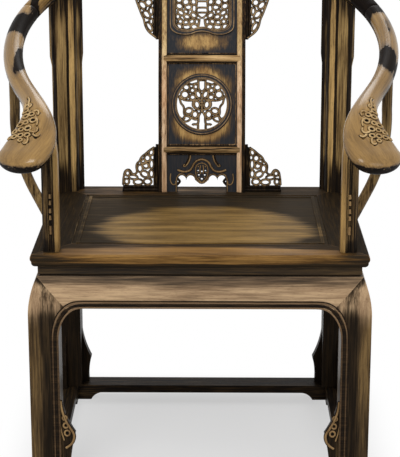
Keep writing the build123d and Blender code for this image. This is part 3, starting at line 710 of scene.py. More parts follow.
def rail_finishes() -> list[RubbedLacquer]:
    """The finishes of the horseshoe rail, its grips and their tendrils.

    Returns:
        One recipe for each finish.
    """
    # The rail and the grips get painted shade on their downward faces, the grips more.
    rail = RubbedLacquer(
        "rail_wood", "rail_wood", Grain.ALONG, GOLD, GOLD_DARK, paint(24, 20, 18),
        cover=-0.05, patch=24, stretch=2.0, soft=0.05, crevice=0.5,
        bare_rough=0.34, gloss=0.12, under_shade=0.6, ragged=3.9, grain_depth=0.8,
        haze=0.03, lacquer_sheen=0.08, rubs=RAIL_PATCHES,
    )
    grip = replace(
        rail, name="grip_wood", slot="grip_wood", cover=-0.5, bare_rough=0.2, gloss=0.34,
        under_shade=1.3, ragged=3.2, grain_depth=0.85, cut_stain=3.1, bump=0.2,
    )
    tendril = RubbedLacquer(
        "tendril_wood", "grip_wood", Grain.DEEP, paint(208, 178, 128), paint(150, 118, 74),
        cover=-0.4, patch=12, stretch=2, soft=0.2, crevice=0.7, ragged=3.0, haze=0.05,
    )
    return [rail, grip, tendril]


def splat_finishes() -> list[RubbedLacquer]:
    """The finishes of the splat, its carvings and the brackets beside it.

    Returns:
        One recipe for each finish.
    """
    roundel = SIZES.seat_height + SIZES.roundel_height
    under_opening = 20
    hump = SIZES.seat_height + SIZES.top_low - under_opening
    panel = RubbedLacquer(
        "splat_lacquer", "splat_lacquer", Grain.UP, paint(206, 168, 106),
        paint(136, 100, 58), paint(50, 52, 56), cover=1.34, patch=26, stretch=6, soft=0.6,
        edge_rub=0.3, ragged=2.6, haze=0.07,
        rubs=(
            RoundRub((0, 240, roundel + 54), (58, 200, 30), 0.7, -1.05),
            RoundRub((0, 240, roundel - 54), (60, 200, 30), 0.6, -1.2),
            RoundRub((0, 240, roundel), (77, 200, 77), 0.26, -0.8),
            RoundRub((0, 240, roundel), (67, 200, 67), 0.02, 1.9),
            RoundRub((0, 290, hump), (50, 200, 19), 0.75, -1.45),
        ),
    )
    stile = RubbedLacquer(
        "stile_wood", "splat_lacquer", Grain.UP, paint(190, 150, 100),
        paint(130, 94, 54), cover=1.15, patch=30, stretch=8, edge_rub=0.5,
    )
    moulding = RubbedLacquer(
        "bright_moulding", "bright_moulding", Grain.UP, paint(255, 222, 182),
        paint(200, 150, 106), cover=0.02, patch=22, crevice=0.7,
        tint=paint(232, 202, 144), tint_dark=paint(164, 130, 78), tint_from=720, tint_to=860,
    )
    cross = replace(
        moulding, name="bright_cross", grain=Grain.ACROSS, bare=paint(236, 200, 142),
        bare_dark=paint(158, 118, 70), cover=0.16, tint=None,
    )
    openwork = RubbedLacquer(
        "openwork", "openwork", Grain.UP, paint(204, 172, 126), paint(140, 110, 74),
        cover=2.78, patch=9, stretch=1.6, soft=0.35, crevice=0.3,
        front_rub=2.6, ragged=3.0, haze=0.06,
    )
    dark_openwork = RubbedLacquer(
        "dark_openwork", "openwork", Grain.UP, BROWN, BROWN_DARK,
        cover=1.0, patch=12, stretch=3, edge_rub=0.2,
    )
    return [panel, stile, moulding, cross, openwork, dark_openwork]


def bead_finishes() -> list[RubbedLacquer]:
    """The finishes of the beads, the dark lines and the low carvings.

    Returns:
        One recipe for each finish.
    """
    edge_bead = RubbedLacquer(
        "edge_bead", "bright_moulding", Grain.ACROSS, paint(190, 156, 118),
        paint(130, 98, 66), cover=0.30, patch=26, stretch=8, soft=0.4,
        crevice=0.3, ragged=0.5, grain_depth=0.25,
        rubs=(BandRub(2, 0, 340, 70, 0.25),),
    )
    dark_line = RubbedLacquer(
        "dark_line", "bright_moulding", Grain.ACROSS, BROWN, BROWN_DARK,
        cover=1.5, patch=26, stretch=8,
    )
    foot_carving = RubbedLacquer(
        "foot_carving", "openwork", Grain.UP, paint(176, 144, 98),
        paint(120, 90, 56), cover=1.5, patch=12, stretch=2, soft=0.6, crevice=0.3,
        front_rub=1.7, ragged=3.0,
    )
    fine_bead = RubbedLacquer(
        "fine_bead", "bright_moulding", Grain.UP, paint(196, 166, 124),
        paint(130, 100, 68), cover=0.12, patch=20, stretch=3, crevice=0.2, ragged=2.6,
    )
    bead_wood = RubbedLacquer(
        "bead_wood", "bright_moulding", Grain.UP, paint(196, 160, 112),
        paint(140, 104, 64), cover=0.42, patch=16, stretch=3, soft=0.4, crevice=0.5,
    )
    return [edge_bead, dark_line, foot_carving, fine_bead, bead_wood]


class FinishBook:
    """Makes each finish once and hands it out by name."""

    def __init__(self, recipes: Sequence[RubbedLacquer]) -> None:
        """Lists the finishes.

        Args:
            recipes: the finishes of this chair.
        """
        self._recipes = {recipe.name: recipe for recipe in recipes}
        self._made: dict[str, bpy.types.Material] = {}

    def get(self, name: str) -> bpy.types.Material:
        """A material, made on first use.

        Args:
            name: the finish's name.

        Returns:
            The material.
        """
        if name not in self._made:
            self._made[name] = self._recipes[name].make()
        return self._made[name]

    def dress(self, thing: bpy.types.Object, name: str) -> None:
        """Gives a new piece its finish.

        Args:
            thing: the piece.
            name: the finish's name.
        """
        thing.data.materials.clear()
        thing.data.materials.append(self.get(name))

    def dress_node(self, node: str, name: str) -> None:
        """Gives a solid of the frame its finish."""
        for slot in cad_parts[node].material_slots:
            slot.material = self.get(name)


FINISHES = FinishBook(
    [
        *seat_finishes(), *frame_finishes(), *rail_finishes(), *splat_finishes(),
        *bead_finishes(),
    ]
)


# ------------------------------------------------------------------ meshes
def hold(mesh: bpy.types.Mesh, name: str, kind: str, values: np.ndarray) -> None:
    """Keeps a value at each point of a mesh.

    Args:
        mesh: the mesh.
        name: the name under which materials read the value.
        kind: FLOAT_VECTOR for three numbers a point, or FLOAT for one.
        values: one row or number for each point.
    """
    field = "vector" if kind == "FLOAT_VECTOR" else "value"
    held = mesh.attributes.new(name, kind, "POINT")
    held.data.foreach_set(field, values.astype(np.float32).ravel())


def mesh_piece(
    name: str, points: np.ndarray, faces: Sequence[Sequence[int]]
) -> bpy.types.Object:
    """Makes a mesh object from points in millimetres.

    Args:
        name: the piece's name.
        points: one row for each point.
        faces: the points' numbers round each face.

    Returns:
        The object, linked to the scene.
    """
    mesh = bpy.data.meshes.new(name)
    mesh.from_pydata([tuple(p * MM) for p in points], [], [tuple(f) for f in faces])
    thing = bpy.data.objects.new(name, mesh)
    bpy.context.scene.collection.objects.link(thing)
    return thing


def tidy_normals(thing: bpy.types.Object) -> None:
    """Turns every face of a closed piece outwards.

    Args:
        thing: the piece.
    """
    shape = bmesh.new()
    shape.from_mesh(thing.data)
    bmesh.ops.remove_doubles(shape, verts=shape.verts, dist=SAME_POINT)
    bmesh.ops.recalc_face_normals(shape, faces=shape.faces)
    shape.to_mesh(thing.data)
    shape.free()


def distances(path: np.ndarray) -> np.ndarray:
    """How far along a path each of its points lies."""
    return np.concatenate([[0], np.cumsum(np.linalg.norm(np.diff(path, axis=0), axis=1))])


def directions(path: np.ndarray) -> np.ndarray:
    """The way a path runs at each of its points."""
    ways = np.gradient(path, axis=0)
    return ways / np.linalg.norm(ways, axis=1)[:, None]


def sweep(
    name: str,
    path: np.ndarray,
    section: Callable[[int, float], np.ndarray],
    start: float,
) -> bpy.types.Object:
    """Runs a closed section along a path that never points straight up.

    Args:
        name: the piece's name.
        path: centreline points in millimetres.
        section: for a row number and its distance along gives the section's points:
            across and up from the centreline and, where wood is cut, how deep.
        start: the wood's running length at the first point.

    Returns:
        The closed mesh. Its run attribute gives each point's place in the wood, across,
        through and along, and its cut attribute the share of the deepest cut.
    """
    gone = distances(path)
    flats = [section(row, length) for row, length in enumerate(gone)]
    rows, counts = len(path), len(flats[0])
    points, runs = [], []
    for centre, way, flat, length in zip(path, directions(path), flats, gone):
        side = np.cross(way, (0.0, 0.0, 1.0))
        side /= np.linalg.norm(side)
        points.append(centre + flat[:, :1] * side + flat[:, 1:2] * np.cross(side, way))
        runs.append(np.column_stack([flat[:, :2], np.full(counts, start + length)]))
    faces = [
        (
            row * counts + i,
            row * counts + (i + 1) % counts,
            (row + 1) * counts + (i + 1) % counts,
            (row + 1) * counts + i,
        )
        for row in range(rows - 1)
        for i in range(counts)
    ]
    faces.append(tuple(range(counts - 1, -1, -1)))
    faces.append(tuple((rows - 1) * counts + i for i in range(counts)))
    thing = mesh_piece(name, np.concatenate(points), faces)
    hold(thing.data, "run", "FLOAT_VECTOR", np.concatenate(runs) * MM)
    if flats[0].shape[1] > 2:
        depth = np.concatenate(flats)[:, 2]
        hold(thing.data, "cut", "FLOAT", depth / depth.max())
    thing.data.shade_smooth()
    tidy_normals(thing)
    return thing


def keep(thing: bpy.types.Object, finish: str, *nodes: str) -> None:
    """Dresses a finished piece, fixes it to the chair and reports it.

    Args:
        thing: the piece.
        finish: its finish's name.
        nodes: the solids that it stands for, which are hidden.
    """
    FINISHES.dress(thing, finish)
    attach(thing, ROOT)
    if nodes:
        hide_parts(*nodes)
    log.info("piece %s in %s", thing.name, finish)


# ------------------------------------------------------------------ carved strands
@dataclass(frozen=True)
class Strand:
    """One carved stem on a flat drawing, in millimetres.

    A closed stem runs back to its start. The tip is the width's share that is left there.
    """

    points: tuple[Spot, ...]
    width: float
    closed: bool = False
    tip: float = 1.0

    def mirrored(self) -> "Strand":
        """The same stem on the other side of the middle line."""
        return Strand(tuple((-x, y) for x, y in self.points), self.width, self.closed, self.tip)


def ring(
    x: float, y: float, across: float, high: float, width: float, tilt: float = 0.0
) -> Strand:
    """A closed oval stem round a hole.

    Args:
        x: the middle's place across.
        y: the middle's place up.
        across: the oval's radius across.
        high: the oval's radius up.
        width: the stem's width.
        tilt: how far the oval is turned to the left, in degrees.

    Returns:
        The stem.
    """
    steps = 12
    cos, sin = math.cos(math.radians(tilt)), math.sin(math.radians(tilt))
    spots = []
    for i in range(steps):
        turn = 2 * math.pi * i / steps
        a, b = across * math.cos(turn), high * math.sin(turn)
        spots.append((x + a * cos - b * sin, y + a * sin + b * cos))
    return Strand(tuple(spots), width, closed=True)


def rims(holes: Sequence[tuple], width: float) -> list[Strand]:
    """A stem round each hole.

    Args:
        holes: for each hole its place across and up, its two radii and its tilt.
        width: the stems' width.

    Returns:
        The stems.
    """
    return [
        ring(x, y, across + width / 2, high + width / 2, width, tilt)
        for x, y, across, high, tilt in holes
    ]


def both(strands: Sequence[Strand]) -> list[Strand]:
    """The strands with their partners on the other side."""
    return [one for strand in strands for one in (strand, strand.mirrored())]


class StrandCarver:
    """Carves strands with a geometry node tree that sweeps a rounded bar along curves."""

    def __init__(self) -> None:
        """Builds the node tree once."""
        self.group = bpy.data.node_groups.new("carved_strands", "GeometryNodeTree")
        face = self.group.interface
        face.new_socket("Geometry", in_out="INPUT", socket_type="NodeSocketGeometry")
        self.inputs = {
            name: face.new_socket(name, in_out="INPUT", socket_type=kind).identifier
            for name, kind in (
                ("Stems", "NodeSocketObject"),
                ("Stem Depth", "NodeSocketFloat"),
                ("Step Length", "NodeSocketFloat"),
                ("Round Sides", "NodeSocketInt"),
                ("Finish", "NodeSocketMaterial"),
            )
        }
        face.new_socket("Geometry", in_out="OUTPUT", socket_type="NodeSocketGeometry")
        tree = Tree(self.group)
        given = tree.add("NodeGroupInput").outputs
        stems = tree.add(
            "GeometryNodeObjectInfo", {"Object": given["Stems"]}, transform_space="ORIGINAL"
        )
        even = tree.add(
            "GeometryNodeResampleCurve",
            {"Curve": stems.outputs["Geometry"], "Length": given["Step Length"]},
            mode="LENGTH",
        )
        level = tree.add("GeometryNodeSetCurveNormal", {"Curve": even.outputs[0]}, mode="Z_UP")
        circle = tree.add(
            "GeometryNodeCurvePrimitiveCircle",
            {"Radius": 1.0, "Resolution": given["Round Sides"]},
        )
        size = tree.add("ShaderNodeCombineXYZ", {0: 1.0, 1: given["Stem Depth"], 2: 1.0})
        shaped = tree.add(
            "GeometryNodeTransform",
            {"Geometry": circle.outputs["Curve"], "Scale": size.outputs[0]},
        )
        body = tree.add(
            "GeometryNodeCurveToMesh",
            {"Curve": level.outputs[0], "Profile Curve": shaped.outputs[0], "Fill Caps": True},
        )
        if body.inputs.get("Scale") is not None:
            width = tree.add("GeometryNodeInputRadius")
            tree.links.new(width.outputs[0], body.inputs["Scale"])
        real = tree.add("GeometryNodeRealizeInstances", {0: body.outputs[0]})
        dressed = tree.add(
            "GeometryNodeSetMaterial",
            {"Geometry": real.outputs[0], "Material": given["Finish"]},
        )
        tree.add("NodeGroupOutput", {0: dressed.outputs[0]})

    def carve(
        self,
        name: str,
        strands: Sequence[Strand],
        depth: float,
        finish: str,
        place: Place,
        *nodes: str,
        sides: int = 8,
        step: float = 2.4,
    ) -> None:
        """Carves strands, sets them on the chair and dresses them.

        Args:
            name: the piece's name.
            strands: the stems on their flat drawing.
            depth: how deep a stem is for its width.
            finish: the finish's name.
            place: takes drawing points, across, up and forward, to chair points.
            nodes: the solids that the piece stands for.
            sides: the number of sides of a stem's section.
            step: the distance between its sections.
        """
        lines = self._drawing(name + "_lines", strands)
        host = bpy.data.objects.new(name, bpy.data.meshes.new(name + "_host"))
        bpy.context.scene.collection.objects.link(host)
        worker = host.modifiers.new("carve", "NODES")
        worker.node_group = self.group
        worker[self.inputs["Stems"]] = lines
        worker[self.inputs["Stem Depth"]] = depth
        worker[self.inputs["Step Length"]] = step
        worker[self.inputs["Round Sides"]] = sides
        worker[self.inputs["Finish"]] = FINISHES.get(finish)
        host.update_tag()
        bpy.context.view_layer.update()
        graph = bpy.context.evaluated_depsgraph_get()
        made = bpy.data.meshes.new_from_object(host.evaluated_get(graph), depsgraph=graph)
        host.modifiers.remove(worker)
        bpy.data.curves.remove(lines.data)
        flat = np.zeros(len(made.vertices) * 3)
        made.vertices.foreach_get("co", flat)
        made.vertices.foreach_set("co", (place(flat.reshape(-1, 3)) * MM).ravel())
        made.shade_smooth()
        made.update()
        host.data = made
        tidy_normals(host)
        keep(host, finish, *nodes)

    def _drawing(self, name: str, strands: Sequence[Strand]) -> bpy.types.Object:
        """Draws the strands as one curve object, each point with its stem's radius.

        Args:
            name: the drawing's name.
            strands: the stems.

        Returns:
            The curve object.
        """
        lines = bpy.data.curves.new(name, "CURVE")
        lines.dimensions = "3D"
        for strand in strands:
            spline = lines.splines.new("NURBS")
            last = len(strand.points) - 1
            spline.points.add(last)
            for number, (point, (x, y)) in enumerate(zip(spline.points, strand.points)):
                point.co = (x, y, 0.0, 1.0)
                point.radius = strand.width / 2 * (1 - (1 - strand.tip) * number / last)
            spline.order_u = 3
            spline.use_cyclic_u = strand.closed
            spline.use_endpoint_u = not strand.closed
            spline.resolution_u = 6
        holder = bpy.data.objects.new(name, lines)
        bpy.context.scene.collection.objects.link(holder)
        return holder


CARVER = StrandCarver()


def lifted(place: Place, front: float) -> Place:
    """The same place function for a drawing that stands forward by a distance.

    Args:
        place: the place function.
        front: the distance in millimetres.

    Returns:
        The new place function.
    """

    def moved(flat: np.ndarray) -> np.ndarray:
        """Lifts the drawing and places it."""
        return place(flat + np.array([0.0, 0.0, front]))

    return moved


# ------------------------------------------------------------------ horseshoe rail and grips
@dataclass(frozen=True)
class ArmShape:
    """An arm's section, which goes from round on the ring to broad and flat at the grip.

    ring_long and whole are the lengths, from the arm's joint, to the ring's end and to the
    paddle's end. Past the share rim of its half width the top is taken as no steeper.
    """

    ring_long: float
    whole: float
    squareness: float = 0.16
    rim: float = 0.985

    def at(self, along: np.ndarray) -> tuple:
        """The section at a place.

        Args:
            along: the distance from the arm's joint.

        Returns:
            Width, thickness and the power of the rounding.
        """
        s = SIZES
        part = np.clip((along - self.ring_long) / (self.whole - self.ring_long), 0, 1)
        spread = (1 - np.cos(np.pi * part**s.grip_widening)) / 2
        wide = s.rail_thick + spread * (s.grip_wide - s.rail_thick)
        thick = s.rail_thick + spread * (s.grip_thick - s.rail_thick)
        return wide, thick, 1 - self.squareness * spread

    def half(self, back: float) -> float:
        """Half the width at a distance from the paddle's end, negative towards the neck."""
        return float(self.at(self.whole + back)[0]) / 2

    def top(self, path: np.ndarray, side: int) -> Place:
        """A place function that lays a drawing, outward, back and up, on the grip's top.

        Args:
            path: the arm's centreline.
            side: +1 for the right arm and -1 for the left one.

        Returns:
            The place function.
        """
        gone, ways = distances(path), directions(path)

        def place(flat: np.ndarray) -> np.ndarray:
            """Finds the rounded top under each point and lifts the point off it.

            Args:
                flat: rows of outward, back and up on the drawing.

            Returns:
                Rows of chair points.
            """
            along = self.whole + flat[:, 1]
            centre = np.column_stack([np.interp(along, gone, row) for row in path.T])
            way = np.column_stack([np.interp(along, gone, row) for row in ways.T])
            beside = np.cross(way, (0.0, 0.0, 1.0))
            beside /= np.linalg.norm(beside, axis=1)[:, None]
            wide, thick, power = self.at(along)
            across = np.clip(np.abs(flat[:, 0]) / (wide / 2), 0, self.rim)
            drop = 1 - across ** (2 / power)
            rise = drop ** (power / 2) * thick / 2
            lean = across ** (2 / power - 1) * drop ** (power / 2 - 1)
            lean *= thick / wide * np.sign(flat[:, 0])
            size = np.hypot(1, lean)
            out = flat[:, 0] + flat[:, 2] * lean / size
            high = rise + flat[:, 2] / size
            above = np.cross(beside, way)
            return centre + (out * -side)[:, None] * beside + high[:, None] * above

        return place


@dataclass
class HorseshoeRail:
    """The one-sweep rail with its five lengths and two carved paddle grips."""

    sides: int = 36
    grip_sides: int = 120
    row_length: float = 6.0
    arm_row_length: float = 4.0
    grip_row_length: float = 1.35
    wood_per_degree: float = 6.0
    joint_ease: float = 0.7
    neck: Point = (308.0, -265.0, 759.0)
    end: Point = (329.0, -326.0, 711.0)
    end_way: Point = (0.475, -0.740, -0.475)
    tip_reach: float = 35.2
    tip_degrees: tuple = (8, 16, 24, 32, 40, 47, 54, 60, 66, 72, 77, 82, 86)
    tip_narrowing: float = 0.85
    tip_edge: float = 0.3
    cut_fade: float = 3.0

    def build(self) -> None:
        """Builds the crest, the shoulders and the arms."""
        crest_end = 90 - SIZES.crest_half
        shoulder_end = crest_end - SIZES.shoulder
        self._length("rail_crest_turned", crest_end, 180 - crest_end, "rail_crest")
        for side, word in SIDES:
            self._length(
                f"rail_shoulder_turned_{word}", shoulder_end, crest_end,
                f"rail_shoulder_{word}", side,
            )
            self._arm(side, word, shoulder_end)
        log.info("rail: crest, shoulders and grips")

    def _length(self, name: str, low: float, high: float, node: str, side: int = 1) -> None:
        """One round length of the rail.

        Args:
            name: the piece's name.
            low: the ring angle at which it starts.
            high: the ring angle at which it ends.
            node: the solid that it stands for.
            side: +1 on the right and in the middle, -1 on the left.
        """
        long = math.radians(high - low) * SIZES.rail_radius
        angles = np.linspace(low, high, int(long / self.row_length))
        path = np.array([SIZES.ring(angle) for angle in angles])
        path[:, 0] *= side
        turn = np.linspace(0, 2 * np.pi, self.sides, endpoint=False)

        def section(row: int, along: float) -> np.ndarray:
            """A circle, eased at both ends so that the joint shows as a fine line."""
            ease = self.joint_ease if row in (0, len(path) - 1) else 0
            return (SIZES.rail_thick / 2 - ease) * np.column_stack([np.cos(turn), np.sin(turn)])

        keep(sweep(name, path, section, low * self.wood_per_degree), "rail_wood", node)

    def _arm_path(self, first: float) -> tuple[np.ndarray, int]:
        """The right arm's centreline from its joint to the paddle's end.

        Args:
            first: the ring angle at which the arm starts.

        Returns:
            The points, and how many of them lie on the ring.
        """
        s = SIZES
        long = math.radians(first + s.turn_forward) * s.rail_radius
        angles = np.linspace(first, -s.turn_forward, int(long / self.arm_row_length))
        on_ring = np.array([s.ring(angle) for angle in angles])
        start, neck, end = on_ring[-1], np.array(self.neck), np.array(self.end)
        first_way = on_ring[-1] - on_ring[-2]
        first_way /= np.linalg.norm(first_way)
        last_way = np.array(self.end_way) / np.linalg.norm(self.end_way)
        near, far = np.linalg.norm(neck - start), np.linalg.norm(end - neck)
        pull = 6 * (end - neck) / far**2 + 6 * (neck - start) / near**2
        pull -= 2 * last_way / far + 2 * first_way / near
        middle_way = pull / (4 / near + 4 / far)
        grip = []
        for p, q, leave, arrive, reach in (
            (start, neck, first_way, middle_way, near),
            (neck, end, middle_way, last_way, far),
        ):
            for t in np.linspace(0, 1, int(reach / self.grip_row_length), endpoint=False):
                grip.append(
                    (2 * t**3 - 3 * t**2 + 1) * p
                    + (t**3 - 2 * t**2 + t) * reach * leave
                    + (3 * t**2 - 2 * t**3) * q
                    + (t**3 - t**2) * reach * arrive
                )
        return np.concatenate([on_ring[:-1], np.array(grip), [end]]), len(on_ring)

    def _arm(self, side: int, word: str, shoulder_end: float) -> None:
        """An arm with its paddle grip and the tendrils cut into the grip's top.

        Args:
            side: +1 for the right arm and -1 for the left one.
            word: the side's name.
            shoulder_end: the ring angle at which the arm starts.
        """
        body, ring_rows = self._arm_path(shoulder_end)
        gone = distances(body)
        shape = ArmShape(gone[ring_rows - 1], gone[-1])
        closing = np.cos(np.radians(self.tip_degrees))
        way = np.array(self.end_way) / np.linalg.norm(self.end_way)
        out = np.sin(np.radians(self.tip_degrees))[:, None]
        path = np.concatenate([body, body[-1] + way * self.tip_reach * out])
        path[:, 0] *= side
        tendrils = GripTendrils()
        turn = np.linspace(0, 2 * np.pi, self.grip_sides, endpoint=False)

        def rounded(value: np.ndarray, power: float) -> np.ndarray:
            """A sine or cosine drawn towards a square."""
            return np.sign(value) * np.abs(value) ** power

        def section(row: int, along: float) -> np.ndarray:
            """Round on the arm, broad and flat on the grip, closing at the tip.

            Args:
                row: the row's number.
                along: its distance from the arm's joint.

            Returns:
                Rows of across, up and the depth of the cut.
            """
            wide, thick, power = shape.at(along)
            if row >= len(body):
                shrink = closing[row - len(body)]
                wide *= shrink**self.tip_narrowing
                thick *= self.tip_edge + (1 - self.tip_edge) * shrink
            if row == 0:
                wide -= 2 * self.joint_ease
                thick -= 2 * self.joint_ease
            across = rounded(np.cos(turn), power) * wide / 2
            up = rounded(np.sin(turn), power) * thick / 2
            cut = tendrils.depth(across * -side, along - shape.whole, wide / 2)
            cut = cut * np.clip(np.sin(turn) * self.cut_fade, 0, 1)
            return np.column_stack([across, up - cut, cut])

        start = shoulder_end * self.wood_per_degree
        arm = sweep(f"rail_arm_turned_{word}", path, section, start)
        keep(arm, "grip_wood", f"rail_arm_{word}")
        CARVER.carve(
            f"grip_tendrils_{word}", tendrils.strands(shape.half), 1.0, "tendril_wood",
            shape.top(path, side), step=1.2,
        )


@dataclass
class GripTendrils:
    """The tendrils on a grip: stems round small deep holes, in a ground cut lower.

    Distances run back from the end of the paddle, and across as a share of half its width.
    """

    hole_depth: float = 4.6
    hole_rim: float = 1.0
    hole_slope: float = 1.6
    ground: float = 1.5
    ground_reach: float = 2.2
    ground_slope: float = 2.0
    stem: float = 3.6
    wall_across: float = 1.8
    wall_along: float = 1.2
    shoot: float = 4.2
    shoot_tip: float = 0.7
    eyes: tuple = (
        (-118, 0.62, 4.6), (-106, 0.74, 3.6), (-91, 0.30, 3.4), (-88, 0.62, 3.6),
        (-76, 0.12, 4.0), (-71, 0.46, 3.0), (-68, 0.72, 4.2), (-56, 0.20, 4.0),
        (-54, 0.50, 3.4), (-50, 0.78, 3.8), (-40, 0.08, 3.6), (-38, 0.36, 3.8),
        (-35, 0.62, 3.8), (-34, 0.86, 2.6), (-26, 0.24, 2.6),
    )
    shoots: tuple = (
        ((-114, 0.56), (-126, 0.60), (-136, 0.44), (-146, 0.52)),
        ((-112, 0.84), (-122, 0.92), (-130, 0.78)),
        ((-96, 0.22), (-102, 0.02), (-94, -0.16), (-88, -0.06)),
        ((-80, -0.02), (-74, -0.16), (-64, -0.14)),
        ((-50, 0.06), (-46, -0.16), (-54, -0.28), (-60, -0.20)),
        ((-44, -0.14), (-36, -0.34), (-44, -0.42)),
        ((-34, 0.0), (-24, -0.12), (-16, -0.04), (-20, 0.06)),
        ((-100, 0.40), (-98, 0.52), (-104, 0.60)),
    )

    def strands(self, half: Callable[[float], float]) -> list[Strand]:
        """The stems as drawn on the grip's top.

        Args:
            half: gives half the grip's width at a distance back from its end.

        Returns:
            The stems, outward and back in millimetres.
        """
        drawn = [
            ring(share * half(back), back, r + self.wall_across, r + self.wall_along, self.stem)
            for back, share, r in self.eyes
        ]
        for shoot in self.shoots:
            spots = tuple((share * half(back), back) for back, share in shoot)
            drawn.append(Strand(spots, self.shoot, tip=self.shoot_tip))
        return drawn

    def depth(self, outward: np.ndarray, back: float, half: float) -> np.ndarray:
        """How deep the wood is cut at points of the grip's top.

        Args:
            outward: distance towards the chair's outer side, from the middle.
            back: distance from the paddle's end, negative towards the neck.
            half: half the grip's width there.

        Returns:
            The depth in millimetres.
        """
        near = np.full(len(outward), np.inf)
        hole = np.zeros(len(outward))
        for along, share, radius in self.eyes:
            far = np.hypot(outward - share * half, back - along)
            near = np.minimum(near, far - radius - self.stem)
            hole = np.maximum(hole, soft(radius + self.hole_rim - far, self.hole_slope))
        for shoot in self.shoots:
            for (a0, s0), (a1, s1) in zip(shoot, shoot[1:]):
                ax, ay, bx, by = s0 * half, a0, s1 * half, a1
                long = (bx - ax) ** 2 + (by - ay) ** 2
                t = ((outward - ax) * (bx - ax) + (back - ay) * (by - ay)) / long
                t = np.clip(t, 0, 1)
                far = np.hypot(outward - ax - t * (bx - ax), back - ay - t * (by - ay))
                near = np.minimum(near, far - self.stem / 2)
        field = self.ground * soft(self.ground_reach - near, self.ground_slope)
        return np.maximum(self.hole_depth * hole, field)


def soft(value: np.ndarray, width: float) -> np.ndarray:
    """A soft step from 0 to 1 over a width."""
    t = np.clip(value / width, 0, 1)
    return t * t * (3 - 2 * t)


